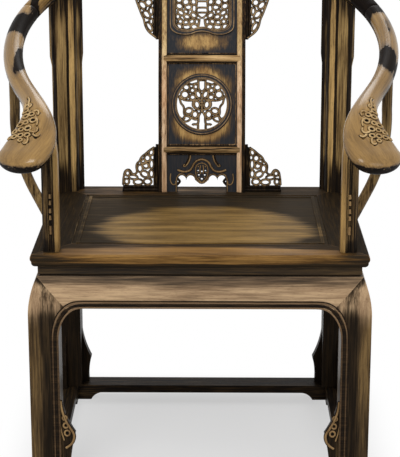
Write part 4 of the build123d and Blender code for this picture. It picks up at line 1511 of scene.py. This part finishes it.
# ------------------------------------------------------------------ splat
@dataclass
class Splat:
    """The bent splat: bright stiles and cross rails, mouldings and two pierced carvings."""

    stile_face: float = 11.5
    stile_middle: float = 83.2
    stile_heights: tuple = (1.0, 170.0, 340.0, 486.0)
    stile_proud: float = 8.6
    cross_heights: tuple[float, float] = (96.0, 293.0)
    cross_high: float = 13.5
    cross_lap: float = 6.0
    cross_proud: float = 9.6
    half_round: float = 0.62
    seam_proud: float = 9.0
    bead_rows: tuple = ((0.6, 2.6), (3.4, 1.5), (9.4, 2.0))
    bead_proud: float = 2.9
    border_inset: float = 3.2
    border_wide: float = 1.6
    stripe_proud: float = 4.4
    stem: float = 5.4

    def bend(self, flat: np.ndarray) -> np.ndarray:
        """Takes across, up and forward on the splat's drawing to the bent splat.

        Args:
            flat: rows of across, height above the seat and distance in front.

        Returns:
            Rows of chair points.
        """
        s = SIZES
        radius = s.splat_radius
        lean = np.arcsin(np.clip(flat[:, 1] / radius, -1, 1))
        reach = radius + flat[:, 2]
        back = s.splat_foot + radius - reach * np.cos(lean)
        high = s.seat_height + reach * np.sin(lean)
        return np.column_stack([flat[:, 0], back, high])

    def flat_at(self, height: float) -> Place:
        """A place function on the flat that touches the splat.

        Args:
            height: where it touches, above the seat.

        Returns:
            The place function, whose drawings have their middle there.
        """
        s = SIZES
        lean = math.asin(height / s.splat_radius)
        back = s.splat_radius * (1 - math.cos(lean))
        origin = np.array([0.0, s.splat_foot + back, s.seat_height + height])
        rise = np.array([0.0, math.sin(lean), math.cos(lean)])
        front = np.array([0.0, -math.cos(lean), math.sin(lean)])

        def place(flat: np.ndarray) -> np.ndarray:
            """Lays the drawing on the flat."""
            across = flat[:, :1] * np.array([1.0, 0.0, 0.0])
            return origin + across + flat[:, 1:2] * rise + flat[:, 2:3] * front

        return place

    def build(self) -> None:
        """Builds everything that stands on the splat."""
        for side, word in SIDES:
            middle = side * self.stile_middle
            face = Strand(tuple((middle, up) for up in self.stile_heights), self.stile_face)
            CARVER.carve(
                f"stile_face_{word}", [face], self.half_round, "bright_moulding",
                lifted(self.bend, self.stile_proud), sides=16, step=8.0,
            )
        for order, height in enumerate(self.cross_heights, start=1):
            self._cross_face(order, height)
        self._mouldings()
        self._roundel()
        self._top_carving()
        self._foot_relief()
        log.info("splat: faces, mouldings and carvings")

    def _cross_face(self, order: int, height: float) -> None:
        """A half-round bar over a cross rail, its ends lapping the stiles, with fine lines.

        Args:
            order: the cross rail's number from below.
            height: its middle above the seat.
        """
        reach, half = SIZES.splat_half - SIZES.stile_wide, self.cross_high / 2
        right = (reach / 2, reach + 1, reach + self.cross_lap)
        bar = tuple((x, height) for x in (*(-x for x in reversed(right)), *right))
        name = f"cross_face_{order}"
        CARVER.carve(
            name, [Strand(bar, self.cross_high)], self.half_round, "bright_cross",
            lifted(self.bend, self.cross_proud), sides=16, step=5.0,
        )
        for word, away, width, finish, front in (
            ("seams", 1.4, 2.6, "dark_line", self.seam_proud),
            ("lines", 4.4, 1.7, "bead_wood", SIZES.panel_thick / 2),
        ):
            strands = [
                Strand(((-reach, height + up), (reach, height + up)), width)
                for up in (-half - away, half + away)
            ]
            CARVER.carve(
                f"{name}_{word}", strands, 0.8, finish, lifted(self.bend, front),
                sides=6, step=12.0,
            )

    def _mouldings(self) -> None:
        """Fine beads on the moulding round each opening, and the middle panel's border line."""
        s = SIZES
        front = s.panel_thick / 2
        round_beads = [
            ring(0, 0, s.roundel_radius + grow, s.roundel_radius + grow, width)
            for grow, width in self.bead_rows
        ]
        wave_beads = [self._wave(grow, width) for grow, width in self.bead_rows]
        for name, beads, height in (
            ("roundel_beads", round_beads, s.roundel_height),
            ("top_opening_beads", wave_beads, (s.top_low + s.top_high) / 2),
        ):
            place = lifted(self.flat_at(height), front + self.bead_proud)
            CARVER.carve(name, beads, 1.0, "fine_bead", place, step=3.0)
        edge = s.splat_half - s.stile_wide - self.border_inset
        low = self.cross_heights[0] + self.cross_high / 2 + self.border_inset
        high = self.cross_heights[1] - self.cross_high / 2 - self.border_inset
        border = Strand(
            ((-edge, low), (edge, low), (edge, low), (edge, high), (edge, high),
             (-edge, high), (-edge, high), (-edge, low), (-edge, low)),
            self.border_wide,
        )
        CARVER.carve(
            "roundel_border", [border], 0.8, "bead_wood", lifted(self.bend, front),
            sides=6, step=8.0,
        )

    def _wave(self, grow: float, width: float) -> Strand:
        """The outline of the top opening, with its waved foot.

        Args:
            grow: how much larger the outline is all round.
            width: the stem's width.

        Returns:
            The stem.
        """
        s = SIZES
        half = s.top_half + grow
        high = (s.top_high - s.top_low) / 2 + grow
        corner = 0.3 * half
        right = [
            (0, high), (0.6 * half, high - 0.3 * corner), (half, high - corner),
            (half, 0), (half, corner - high), (0.97 * half, 0.55 * corner - high),
            (0.84 * half, 0.2 * corner - high), (0.68 * half, 0.03 * corner - high),
            (0.5 * half, -high), (0.34 * half, 0.2 * s.top_wave - high),
            (0.2 * half, 0.75 * s.top_wave - high), (0, s.top_wave - high),
        ]
        left = [(-x, y) for x, y in reversed(right[1:-1])]
        return Strand(tuple(right + left), width, closed=True)

    def _roundel(self) -> None:
        """A butterfly among tendrils, in a round opening."""
        holes = (
            (7.8, 21.7, 3.3, 6.2, -24), (20.4, 15.4, 4.2, 3.4, 0), (20.8, 30.6, 3.3, 3.1, 0),
            (13.6, 38.4, 2.8, 3.3, 0), (34.6, 37.4, 5.0, 4.3, 20), (37.6, 21.4, 6.3, 5.8, 0),
            (10.8, -0.8, 3.8, 6.2, -12), (28.8, -15.0, 6.0, 4.2, -14), (15.2, -22.6, 4.5, 5.3, 0),
            (33.5, -31.8, 6.6, 3.4, -24),
        )
        tendrils = rims(holes, self.stem)
        tendrils += [
            Strand(((8.6, 57), (7.8, 50), (7.6, 42), (7.8, 35), (4, 30), (0, 28)), 5.6),
            Strand(((0, 53), (5, 53), (9, 52)), 5.0),
            Strand(((8, 47), (15, 46), (23, 43), (28, 46), (35, 45)), 5.2),
            Strand(((0, 11.6), (8, 10.4), (20, 8.4), (33, 8.2), (44, 11), (51.5, 19)), 5.8),
            Strand(
                ((52, 19), (48, 11), (47, 2), (41, -3.4), (39, -11), (40.4, -19), (37, -27)), 5.4
            ),
            Strand(((18, 8), (20.6, 2), (19.4, -5), (13.4, -10.4), (6, -11.6), (0, -12)), 5.8),
            Strand(((0, -14), (4.6, -20), (8, -28), (7, -36), (9, -44), (8, -51), (9, -57)), 5.8),
            Strand(((8, -43.5), (14, -45), (20, -43.6), (20.6, -47)), 5.6),
            Strand(((8, -33), (14, -34.5), (21, -31), (28, -27.5), (36, -25)), 5.6),
            Strand(((39, -35), (45, -33), (51, -27)), 5.0),
            Strand(((38, -30), (43, -38), (45, -36)), 5.6),
        ]
        middle = [Strand(((0, 12), (0, 4), (0, -10)), 9.0, tip=0.8)]
        place = self.flat_at(SIZES.roundel_height)
        CARVER.carve(
            "roundel_butterfly", both(tendrils) + middle, 1.05, "openwork", place,
            "splat_carving_roundel", step=2.2,
        )
        stripes = [Strand(((-4.4, y), (0, y - 0.4), (4.4, y)), 2.4) for y in (9.5, 4.4, -1.6)]
        CARVER.carve(
            "roundel_body_stripes", stripes + [ring(0, -15, 1.4, 1.4, 2.6)], 1.0,
            "fine_bead", lifted(place, self.stripe_proud), step=1.6,
        )

    def _top_carving(self) -> None:
        """Close tendrils round a banded vase, in the wide upper opening."""
        s = SIZES
        middle = (s.top_low + s.top_high) / 2
        high = (s.top_high - s.top_low) / 2
        holes = (
            (11.7, -28, 2.2, 3.6, 0), (22.7, -27.4, 3.8, 2.8, -28), (35.6, -29.6, 3.4, 3.2, 0),
            (48, -27.4, 3.2, 3.0, 0), (17.2, -39.6, 5.4, 3.8, 12), (34, -39.8, 6.6, 3.6, 0),
            (51, -39, 4.8, 4.4, 40), (18.6, -13.4, 5.0, 3.2, 40), (33.6, -16.8, 4.6, 3.1, 14),
            (53.6, -16.4, 2.8, 3.4, 0), (35.8, -5.2, 3.1, 2.3, 20), (47, -7.6, 5.4, 2.9, 36),
            (17.6, 2.3, 3.2, 6.4, 0), (30.4, 4.8, 5.4, 3.7, 0), (50.4, 7.4, 5.6, 4.4, 30),
            (36, 16.6, 5.2, 5.0, 0), (19, 17, 3.8, 4.8, -20), (51, 21.5, 4.8, 4.4, 0),
            (27, 28.5, 4.6, 4.0, 30), (40.5, 31, 4.4, 4.0, -20), (53, 34.5, 4.0, 4.6, 0),
            (17, 36.6, 4.0, 4.6, 0), (31.5, 40.5, 5.4, 3.6, 0), (45.6, 43, 4.6, 3.4, 0),
        )
        network = rims(holes, self.stem)
        network += [
            Strand(
                ((11.6, high), (10.6, 38), (12.2, 26), (11, 14), (13, 4), (12, -6), (9, -15),
                 (0, -20)), 4.8,
            ),
            Strand(((5.4, -21), (6, -30), (8.6, -41), (10, -high)), 4.8),
            Strand(
                ((58.6, high - 8), (58.8, 10), (58.8, -20), (58, -34), (50, -46), (40, -47)), 4.0
            ),
        ]
        bars = [Strand(((-11.5, y), (0, y + 0.8), (11.5, y)), 5.0) for y in (-7.6, 3.6, 18, 30, 42)]
        CARVER.carve(
            "top_carving_tendrils", both(network) + bars, 1.1, "openwork",
            self.flat_at(middle), "splat_carving_top",
        )

    def _foot_relief(self) -> None:
        """Ridge, scrolls and medallion in low relief, and a fine rim round the arches."""
        front = lifted(self.bend, SIZES.panel_thick / 2)
        rim = [
            (57, 1), (57, 28), (54.5, 36), (49, 41), (44, 41.3), (38.5, 39.5), (34.5, 33),
            (30.5, 39.5), (24.7, 41.3), (18.5, 39.5), (14.8, 34), (12, 27), (8, 22.5), (0, 20.5),
        ]
        ridge = [
            (54, 50.5), (46, 47), (37, 46), (28, 48), (22, 54), (18.5, 63), (11, 72.5), (0, 74.5),
        ]
        scroll = [(24.7, 83), (26, 74), (30, 66), (36, 58), (40, 57), (41, 61), (38, 63)]
        groove = [(x + 3.2, y + 1.6) for x, y in scroll[:5]]
        medallion = [(0, 66), (10, 64), (14, 54), (13.5, 42), (11, 30), (0, 21)]
        relief = [
            Strand(tuple(rim), 3.0),
            Strand(tuple(ridge), 6.2),
            Strand(tuple(scroll), 4.2, tip=0.8),
            Strand(tuple(medallion), 3.0),
            Strand(((2.6, 61), (5.4, 51), (2.6, 41)), 3.2),
            Strand(((69, 42), (71, 31), (69, 21), (63, 15.5), (57, 18), (58, 25)), 3.2),
        ]
        dots = [ring(x, y, 1.2, 1.2, 2.0) for x, y in ((8, 58), (9.5, 44), (6, 33))]
        cusp = Strand(((57, 33), (52, 27), (48, 23), (52, 19), (57, 13)), 6.0)
        CARVER.carve("foot_panel_relief", both(relief + dots), 0.8, "foot_carving", front)
        CARVER.carve("foot_panel_cusps", both([cusp]), 1.0, "dark_openwork", self.bend)
        CARVER.carve(
            "foot_panel_grooves", both([Strand(tuple(groove), 3.0)]), 0.5, "dark_line", front,
            sides=6, step=3.0,
        )


# ------------------------------------------------------------------ mouldings of seat and legs
@dataclass
class EdgeBeads:
    """The bead that runs down each leg, round the corner and along the apron.

    A line is its name, its inset, its width, its depth for that width and its finish.
    """

    lines: tuple = (
        ("opening_bead", 2.0, 3.4, 0.8, "edge_bead"),
        ("channel", 7.0, 5.6, 0.18, "dark_line"),
        ("inner_line", 12.0, 2.6, 0.4, "edge_bead"),
        ("quirk", 15.0, 2.2, 0.3, "dark_line"),
    )
    corner_share: float = 0.6
    foot_gap: float = 2.0
    leg_heights: tuple = (150.0, 240.0)
    past_corner: float = 40.0
    bulge_end: float = 0.999

    def build(self) -> None:
        """Builds the beads and the dark channels of the four sides."""
        s = SIZES
        for side, run_half, out_half, turn in (
            ("front", s.half_width, s.half_depth, 0),
            ("back", s.half_width, s.half_depth, 180),
            ("right", s.half_depth, s.half_width, 90),
            ("left", s.half_depth, s.half_width, -90),
        ):
            for name, inset, width, depth, finish in self.lines:
                CARVER.carve(
                    f"{name}_{side}", [self._line(run_half, inset, width)], depth, finish,
                    self._side(out_half, turn), step=5.0,
                )
        log.info("beads round the four openings")

    def _line(self, run_half: float, inset: float, width: float) -> Strand:
        """The bead's line on a side, from one foot over the apron to the other.

        Args:
            run_half: half the side's width.
            inset: how far the line runs outside the opening's edge.
            width: the bead's width.

        Returns:
            The stem.
        """
        s = SIZES
        half = run_half + s.leg_outset - s.leg_square + inset
        grow = inset * self.corner_share
        across, high = s.round_wide + grow, s.round_high + grow
        top = s.apron_bottom + inset
        spots = [(half, up) for up in (s.base_top + self.foot_gap, *self.leg_heights)]
        for angle in range(0, 91, 15):
            turn = math.radians(angle)
            spots.append(
                (half - across + across * math.cos(turn), top - high + high * math.sin(turn))
            )
        spots += [(half - across - self.past_corner, top), (half / 3, top)]
        spots += [(-x, z) for x, z in reversed(spots)]
        return Strand(tuple(spots), width)

    def _side(self, out_half: float, turn: float) -> Place:
        """A place function that lays a drawing on one bulging side.

        Args:
            out_half: how far the side stands from the chair's middle.
            turn: the way that it faces, in degrees from the front.

        Returns:
            The place function.
        """
        s = SIZES
        cos, sin = math.cos(math.radians(turn)), math.sin(math.radians(turn))

        def place(flat: np.ndarray) -> np.ndarray:
            """Follows the bulge: flush below, drawn in towards the waist.

            Args:
                flat: rows of across, height and distance in front.

            Returns:
                Rows of chair points.
            """
            rise = np.clip((flat[:, 1] - (s.apron_top - s.apron_drop)) / s.apron_drop, 0, 1)
            bulge = 1 - np.sqrt(1 - rise**2 * self.bulge_end)
            drawn_in = (s.top_setback + s.leg_outset) * bulge
            x, y = flat[:, 0], -(out_half + s.leg_outset) + drawn_in - flat[:, 2]
            return np.column_stack([x * cos - y * sin, x * sin + y * cos, flat[:, 1]])

        return place


# ------------------------------------------------------------------ spandrels
@dataclass
class Spandrels:
    """The pierced brackets beside the splat, low at the seat and high at the crest.

    Drawings run out from the splat's edge and up from the seat.
    """

    low_edge: tuple = (
        (10, 100), (18, 94.7), (24, 90), (29, 85), (35.7, 80.7), (40.4, 74.4), (42, 68.8),
        (47.6, 64.6), (50, 58), (49, 50), (48, 44), (52, 39.4), (59, 39), (62.4, 46), (66, 50),
        (72, 49), (76.3, 43.6), (77.4, 36), (79, 28), (79.6, 15),
    )
    low_holes: tuple = (
        (16.4, 88.4, 2.8, 4.4, 20), (25, 75.8, 4.3, 4.9, 0), (33.8, 67.6, 2.8, 3.0, 0),
        (29.4, 59, 5.2, 3.8, 40), (41.6, 52.4, 3.7, 6.2, 0), (15.8, 62, 2.7, 8.0, 0),
        (31.5, 39.6, 6.8, 4.2, 30), (16.2, 40.4, 3.0, 6.2, 0), (25, 22.4, 6.4, 4.6, 0),
        (45.9, 21.4, 7.8, 4.0, 0), (57, 32.6, 7.6, 2.4, 8), (69.4, 41.5, 2.8, 3.4, 0),
        (71.6, 22.6, 3.0, 4.0, 0),
    )
    high_edge: tuple = (
        (3, 336), (13.7, 343), (22, 348.6), (28.7, 357), (32, 366), (33.6, 375), (38.5, 383.4),
        (43, 394), (48.4, 406), (53, 418), (57, 432), (60, 446), (64, 462), (68, 480),
    )
    high_holes: tuple = (
        (21.4, 360, 8.0, 2.9, 56), (17, 371, 1.9, 4.0, 0), (27.4, 385.4, 7.2, 4.0, 40),
        (36.8, 404, 7.0, 4.2, 40), (17.8, 392.6, 2.4, 5.8, 0), (23.4, 410.4, 5.2, 4.8, 0),
        (18.4, 426, 3.4, 5.0, 0), (32, 423, 5.0, 4.4, 30), (46, 422, 5.0, 4.0, 50),
        (25.6, 438, 5.0, 4.2, 0), (40, 438, 5.2, 4.4, 20), (53, 440, 3.4, 5.0, 0),
        (19, 452, 3.6, 5.0, 0), (33, 453, 5.2, 4.4, 0), (47.4, 454, 5.0, 4.6, 30),
        (24, 468, 5.0, 4.6, 0), (39, 469, 5.4, 4.6, 0), (54.6, 468, 5.0, 5.0, 0),
    )
    low_strips: tuple = (
        Strand(((3.2, 1), (3.2, 107)), 6.6), Strand(((9.2, 1), (9.2, 101)), 6.0),
        Strand(((1, 3.8), (81, 3.8)), 7.6), Strand(((1, 11), (80, 11)), 7.2),
    )
    high_strips: tuple = (
        Strand(((3.4, 334), (3.4, 492)), 7.0), Strand(((10.2, 342), (10.2, 492)), 6.6),
    )
    turn: float = 16.0
    stem: float = 5.4

    def build(self) -> None:
        """Builds the four brackets."""
        for side, word in SIDES:
            for level, edge, holes, strips, turn in (
                ("lower", self.low_edge, self.low_holes, self.low_strips, 0.0),
                ("upper", self.high_edge, self.high_holes, self.high_strips, self.turn),
            ):
                place = self._beside(side, turn)
                stems = [Strand(edge, self.stem)] + rims(holes, self.stem)
                last = f"{level}_{word}"
                node = f"spandrel_{last}"
                CARVER.carve(f"bracket_{last}", stems, 1.15, "openwork", place, node)
                CARVER.carve(
                    f"bracket_strips_{last}", strips, 1.0, "dark_openwork", place, node, step=8.0
                )
        log.info("spandrels")

    def _beside(self, side: int, turn: float) -> Place:
        """A place function for a bracket that starts at the splat's edge.

        Args:
            side: +1 for the right bracket and -1 for the left one.
            turn: how far its outer side swings forward, in degrees.

        Returns:
            The place function.
        """
        bend = Splat().bend
        angle = math.radians(turn)

        def place(flat: np.ndarray) -> np.ndarray:
            """Turns the drawing about the splat's edge and bends it.

            Args:
                flat: rows of outward, height above the seat and distance in front.

            Returns:
                Rows of chair points.
            """
            across = flat[:, 0] * math.cos(angle) - flat[:, 2] * math.sin(angle)
            front = flat[:, 0] * math.sin(angle) + flat[:, 2] * math.cos(angle)
            return bend(
                np.column_stack([side * (SIZES.splat_half + across), flat[:, 1], front])
            )

        return place


# ------------------------------------------------------------------ front feet and front posts
@dataclass
class FrontCarvings:
    """The scroll with three eyes on each front foot, and the beads on the front posts."""

    foot_setback: float = 6.0
    edge: tuple = (
        (277, 197), (275.5, 182), (272, 168), (266, 152), (258, 138), (250.5, 126),
        (251.5, 113), (258, 102), (268, 96),
    )
    stem: tuple = ((282, 190), (281, 170), (279, 150), (277, 130), (271, 112))
    eyes: tuple = ((269.2, 160.6, 4.6), (267.4, 144.3, 5.0), (264.6, 128.0, 5.6))
    bead_heights: tuple = (112.0, 99.0, 83.0, 69.0, 48.0, 40.0)
    bead_half: float = 4.5
    post_side: float = 290.0
    post_front: float = 238.5

    def build(self) -> None:
        """Builds the carvings of both front corners."""
        s = SIZES
        scroll = [Strand(self.edge, 7.6), Strand(self.stem, 6.6, tip=0.7)]
        scroll += [ring(x, z, r, r * 1.1, 5.8) for x, z, r in self.eyes]
        beads = [
            Strand(
                tuple(
                    (self.post_side, s.seat_height + up + end)
                    for end in (-self.bead_half, self.bead_half)
                ),
                7.0, tip=0.8,
            )
            for up in self.bead_heights
        ]
        foot_front = s.half_depth + s.leg_outset - self.foot_setback
        for name, drawing, depth, front in (
            ("foot_scroll", scroll, 0.9, foot_front),
            ("post_beads", beads, 0.5, self.post_front),
        ):
            for side, word in SIDES:
                place = self._facing(front, side)
                CARVER.carve(f"{name}_{word}", drawing, depth, "foot_carving", place)
        log.info("carvings on the front feet and posts")

    def _facing(self, front: float, side: int) -> Place:
        """A place function for an upright face at the chair's front.

        Args:
            front: how far the face stands in front of the chair's middle.
            side: +1 on the right, where the drawing is made, and -1 on the left.

        Returns:
            The place function.
        """

        def place(flat: np.ndarray) -> np.ndarray:
            """Stands the drawing up, mirrored where the side is the left one."""
            return np.column_stack([side * flat[:, 0], -front - flat[:, 2], flat[:, 1]])

        return place


# ------------------------------------------------------------------ solids that keep their shape
@dataclass
class FrameWood:
    """The solids that are right as they are: they only get their finish."""

    plain: str = "dark_wood"
    starts: tuple = (
        ("seat_panel", "seat_board"),
        ("seat_rail", "seat_frame_wood"),
        ("seat_batten", "dark_side_wood"),
        ("waist", "waist_wood"),
        ("apron", "apron_wood"),
        ("base_rail", "dark_wood"),
        ("leg", "leg_wood"),
        ("front_post", "front_post_wood"),
        ("rear_post", "post_wood"),
        ("side_post", "side_post_wood"),
        ("rear_strip", "strip_wood"),
        ("splat_panel", "splat_lacquer"),
        ("splat_stile", "stile_wood"),
        ("splat_rail", "stile_wood"),
        ("spandrel", "openwork"),
        ("splat_carving", "openwork"),
    )
    frames: tuple = ("seat_rail", "waist", "apron", "base_rail")
    side_ways: tuple = (
        ("seat_frame_wood", "seat_side_wood"),
        ("waist_wood", "waist_side_wood"),
        ("apron_wood", "apron_side_wood"),
        ("dark_wood", "dark_side_wood"),
    )

    def finish_of(self, node: str) -> str:
        """The finish of a solid: in the frames, the side lengths' grain runs back.

        Args:
            node: the solid's name.

        Returns:
            The finish's name.
        """
        finish = self.plain
        for start, name in self.starts:
            if node.startswith(start):
                finish = name
        if node.startswith(self.frames) and node.endswith(("_left", "_right")):
            finish = dict(self.side_ways)[finish]
        return finish

    def dress(self) -> None:
        """Gives each solid of the frame its finish."""
        for node in sorted(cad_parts):
            FINISHES.dress_node(node, self.finish_of(node))
        log.info("finishes on %d solids", len(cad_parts))


# ------------------------------------------------------------------ room, light and camera
@dataclass
class Studio:
    """A pale floor, soft lamps and the camera in front of and above the seat."""

    camera_at: Point = (0.0272, -3.0957, 1.3946)
    pitch: float = 14.8
    yaw: float = 0.54
    focal_px: float = 1534.9
    frame_px: tuple[int, int] = (400, 457)
    raise_frame: float = -0.1
    sensor: float = 36.0
    aim: Point = (0.0, 0.0, 0.6)
    floor_reach: float = 20000.0
    floor_gap: float = 0.2
    floor_shade: float = 0.62
    shadow_share: float = 0.5
    shadow_spans: tuple = ((0, 0.24, 0.44), (1, 0.20, 0.40))
    world_light: float = 0.5
    lamps: tuple = (
        ("lamp_key", (-0.9, -2.4, 3.2), 60.0, 1.4),
        ("lamp_fill", (2.0, -2.2, 1.8), 14.0, 1.6),
        ("lamp_back", (0.4, 2.2, 2.8), 20.0, 1.4),
    )

    def build(self) -> None:
        """Sets up the floor, the world, the lamps and the camera."""
        self._floor()
        self._world()
        self._lamps()
        self._camera()
        bpy.context.scene.view_settings.view_transform = "Standard"
        log.info("studio")

    def _seen(self, tree: Tree) -> Socket:
        """1 for what the camera sees, straight or by a mirror, and 0 for light on the chair.

        Args:
            tree: the tree that needs it.

        Returns:
            The socket that carries it.
        """
        path = tree.add("ShaderNodeLightPath").outputs
        seen = tree.math("MAXIMUM", path["Is Camera Ray"], path["Is Glossy Ray"])
        return tree.math("MAXIMUM", seen, path["Is Transmission Ray"])

    def _floor(self) -> None:
        """A wide pale floor that turns to plain white away from the feet."""
        material = bpy.data.materials.new("pale_floor")
        material.use_nodes = True
        tree = Tree(material.node_tree)
        shade = (self.floor_shade, self.floor_shade, self.floor_shade, 1)
        diffuse = tree.add("ShaderNodeBsdfDiffuse", {"Color": shade})
        white = tree.add("ShaderNodeEmission", {"Color": (1, 1, 1, 1), "Strength": 1.0})
        place = tree.place()
        inside = [
            tree.step(tree.math("ABSOLUTE", tree.part(place, axis)), far, near)
            for axis, near, far in self.shadow_spans
        ]
        shade_below = tree.math("MULTIPLY", inside[0], inside[1])
        share = tree.plus(1.0, shade_below, -self.shadow_share)
        mixed = tree.add(
            "ShaderNodeMixShader",
            {
                0: tree.math("MULTIPLY", self._seen(tree), share),
                1: diffuse.outputs[0],
                2: white.outputs[0],
            },
        )
        tree.add("ShaderNodeOutputMaterial", {"Surface": mixed.outputs[0]})
        reach = self.floor_reach
        corners = [
            (x, y, -self.floor_gap)
            for x, y in ((-reach, -reach), (reach, -reach), (reach, reach), (-reach, reach))
        ]
        floor = mesh_piece("floor", np.array(corners), [(0, 1, 2, 3)])
        floor.data.materials.append(material)

    def _world(self) -> None:
        """Even light from all round, white behind the chair."""
        world = bpy.data.worlds.new("studio_world")
        bpy.context.scene.world = world
        world.use_nodes = True
        tree = Tree(world.node_tree)
        lights = [
            tree.add("ShaderNodeBackground", {0: (1, 1, 1, 1), 1: power}).outputs[0]
            for power in (self.world_light, 1.0)
        ]
        mix = tree.add("ShaderNodeMixShader", {0: self._seen(tree), 1: lights[0], 2: lights[1]})
        tree.add("ShaderNodeOutputWorld", {0: mix.outputs[0]})

    def _lamps(self) -> None:
        """A large lamp above in front, a weaker one beside it and one behind."""
        for name, spot, power, size in self.lamps:
            light = bpy.data.lights.new(name, "AREA")
            light.energy = power
            light.size = size
            lamp = bpy.data.objects.new(name, light)
            lamp.location = spot
            aim = Vector(self.aim) - Vector(spot)
            lamp.rotation_euler = aim.to_track_quat("-Z", "Y").to_euler()
            bpy.context.scene.collection.objects.link(lamp)

    def _camera(self) -> None:
        """The camera, aimed a little down."""
        lens = bpy.data.cameras.new("camera")
        lens.sensor_width = self.sensor
        lens.lens = self.focal_px / max(self.frame_px) * self.sensor
        lens.shift_y = self.raise_frame
        lens.clip_start = 0.05
        camera = bpy.data.objects.new("camera", lens)
        camera.location = self.camera_at
        camera.rotation_euler = (math.radians(90 - self.pitch), 0, math.radians(self.yaw))
        bpy.context.scene.collection.objects.link(camera)
        bpy.context.scene.camera = camera


def main() -> None:
    """Builds and dresses the whole chair."""
    logging.basicConfig(level=logging.INFO, format="%(name)s: %(message)s")
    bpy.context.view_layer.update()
    FrameWood().dress()
    Studio().build()
    HorseshoeRail().build()
    Splat().build()
    EdgeBeads().build()
    Spandrels().build()
    FrontCarvings().build()


if __name__ == "__main__":
    main()
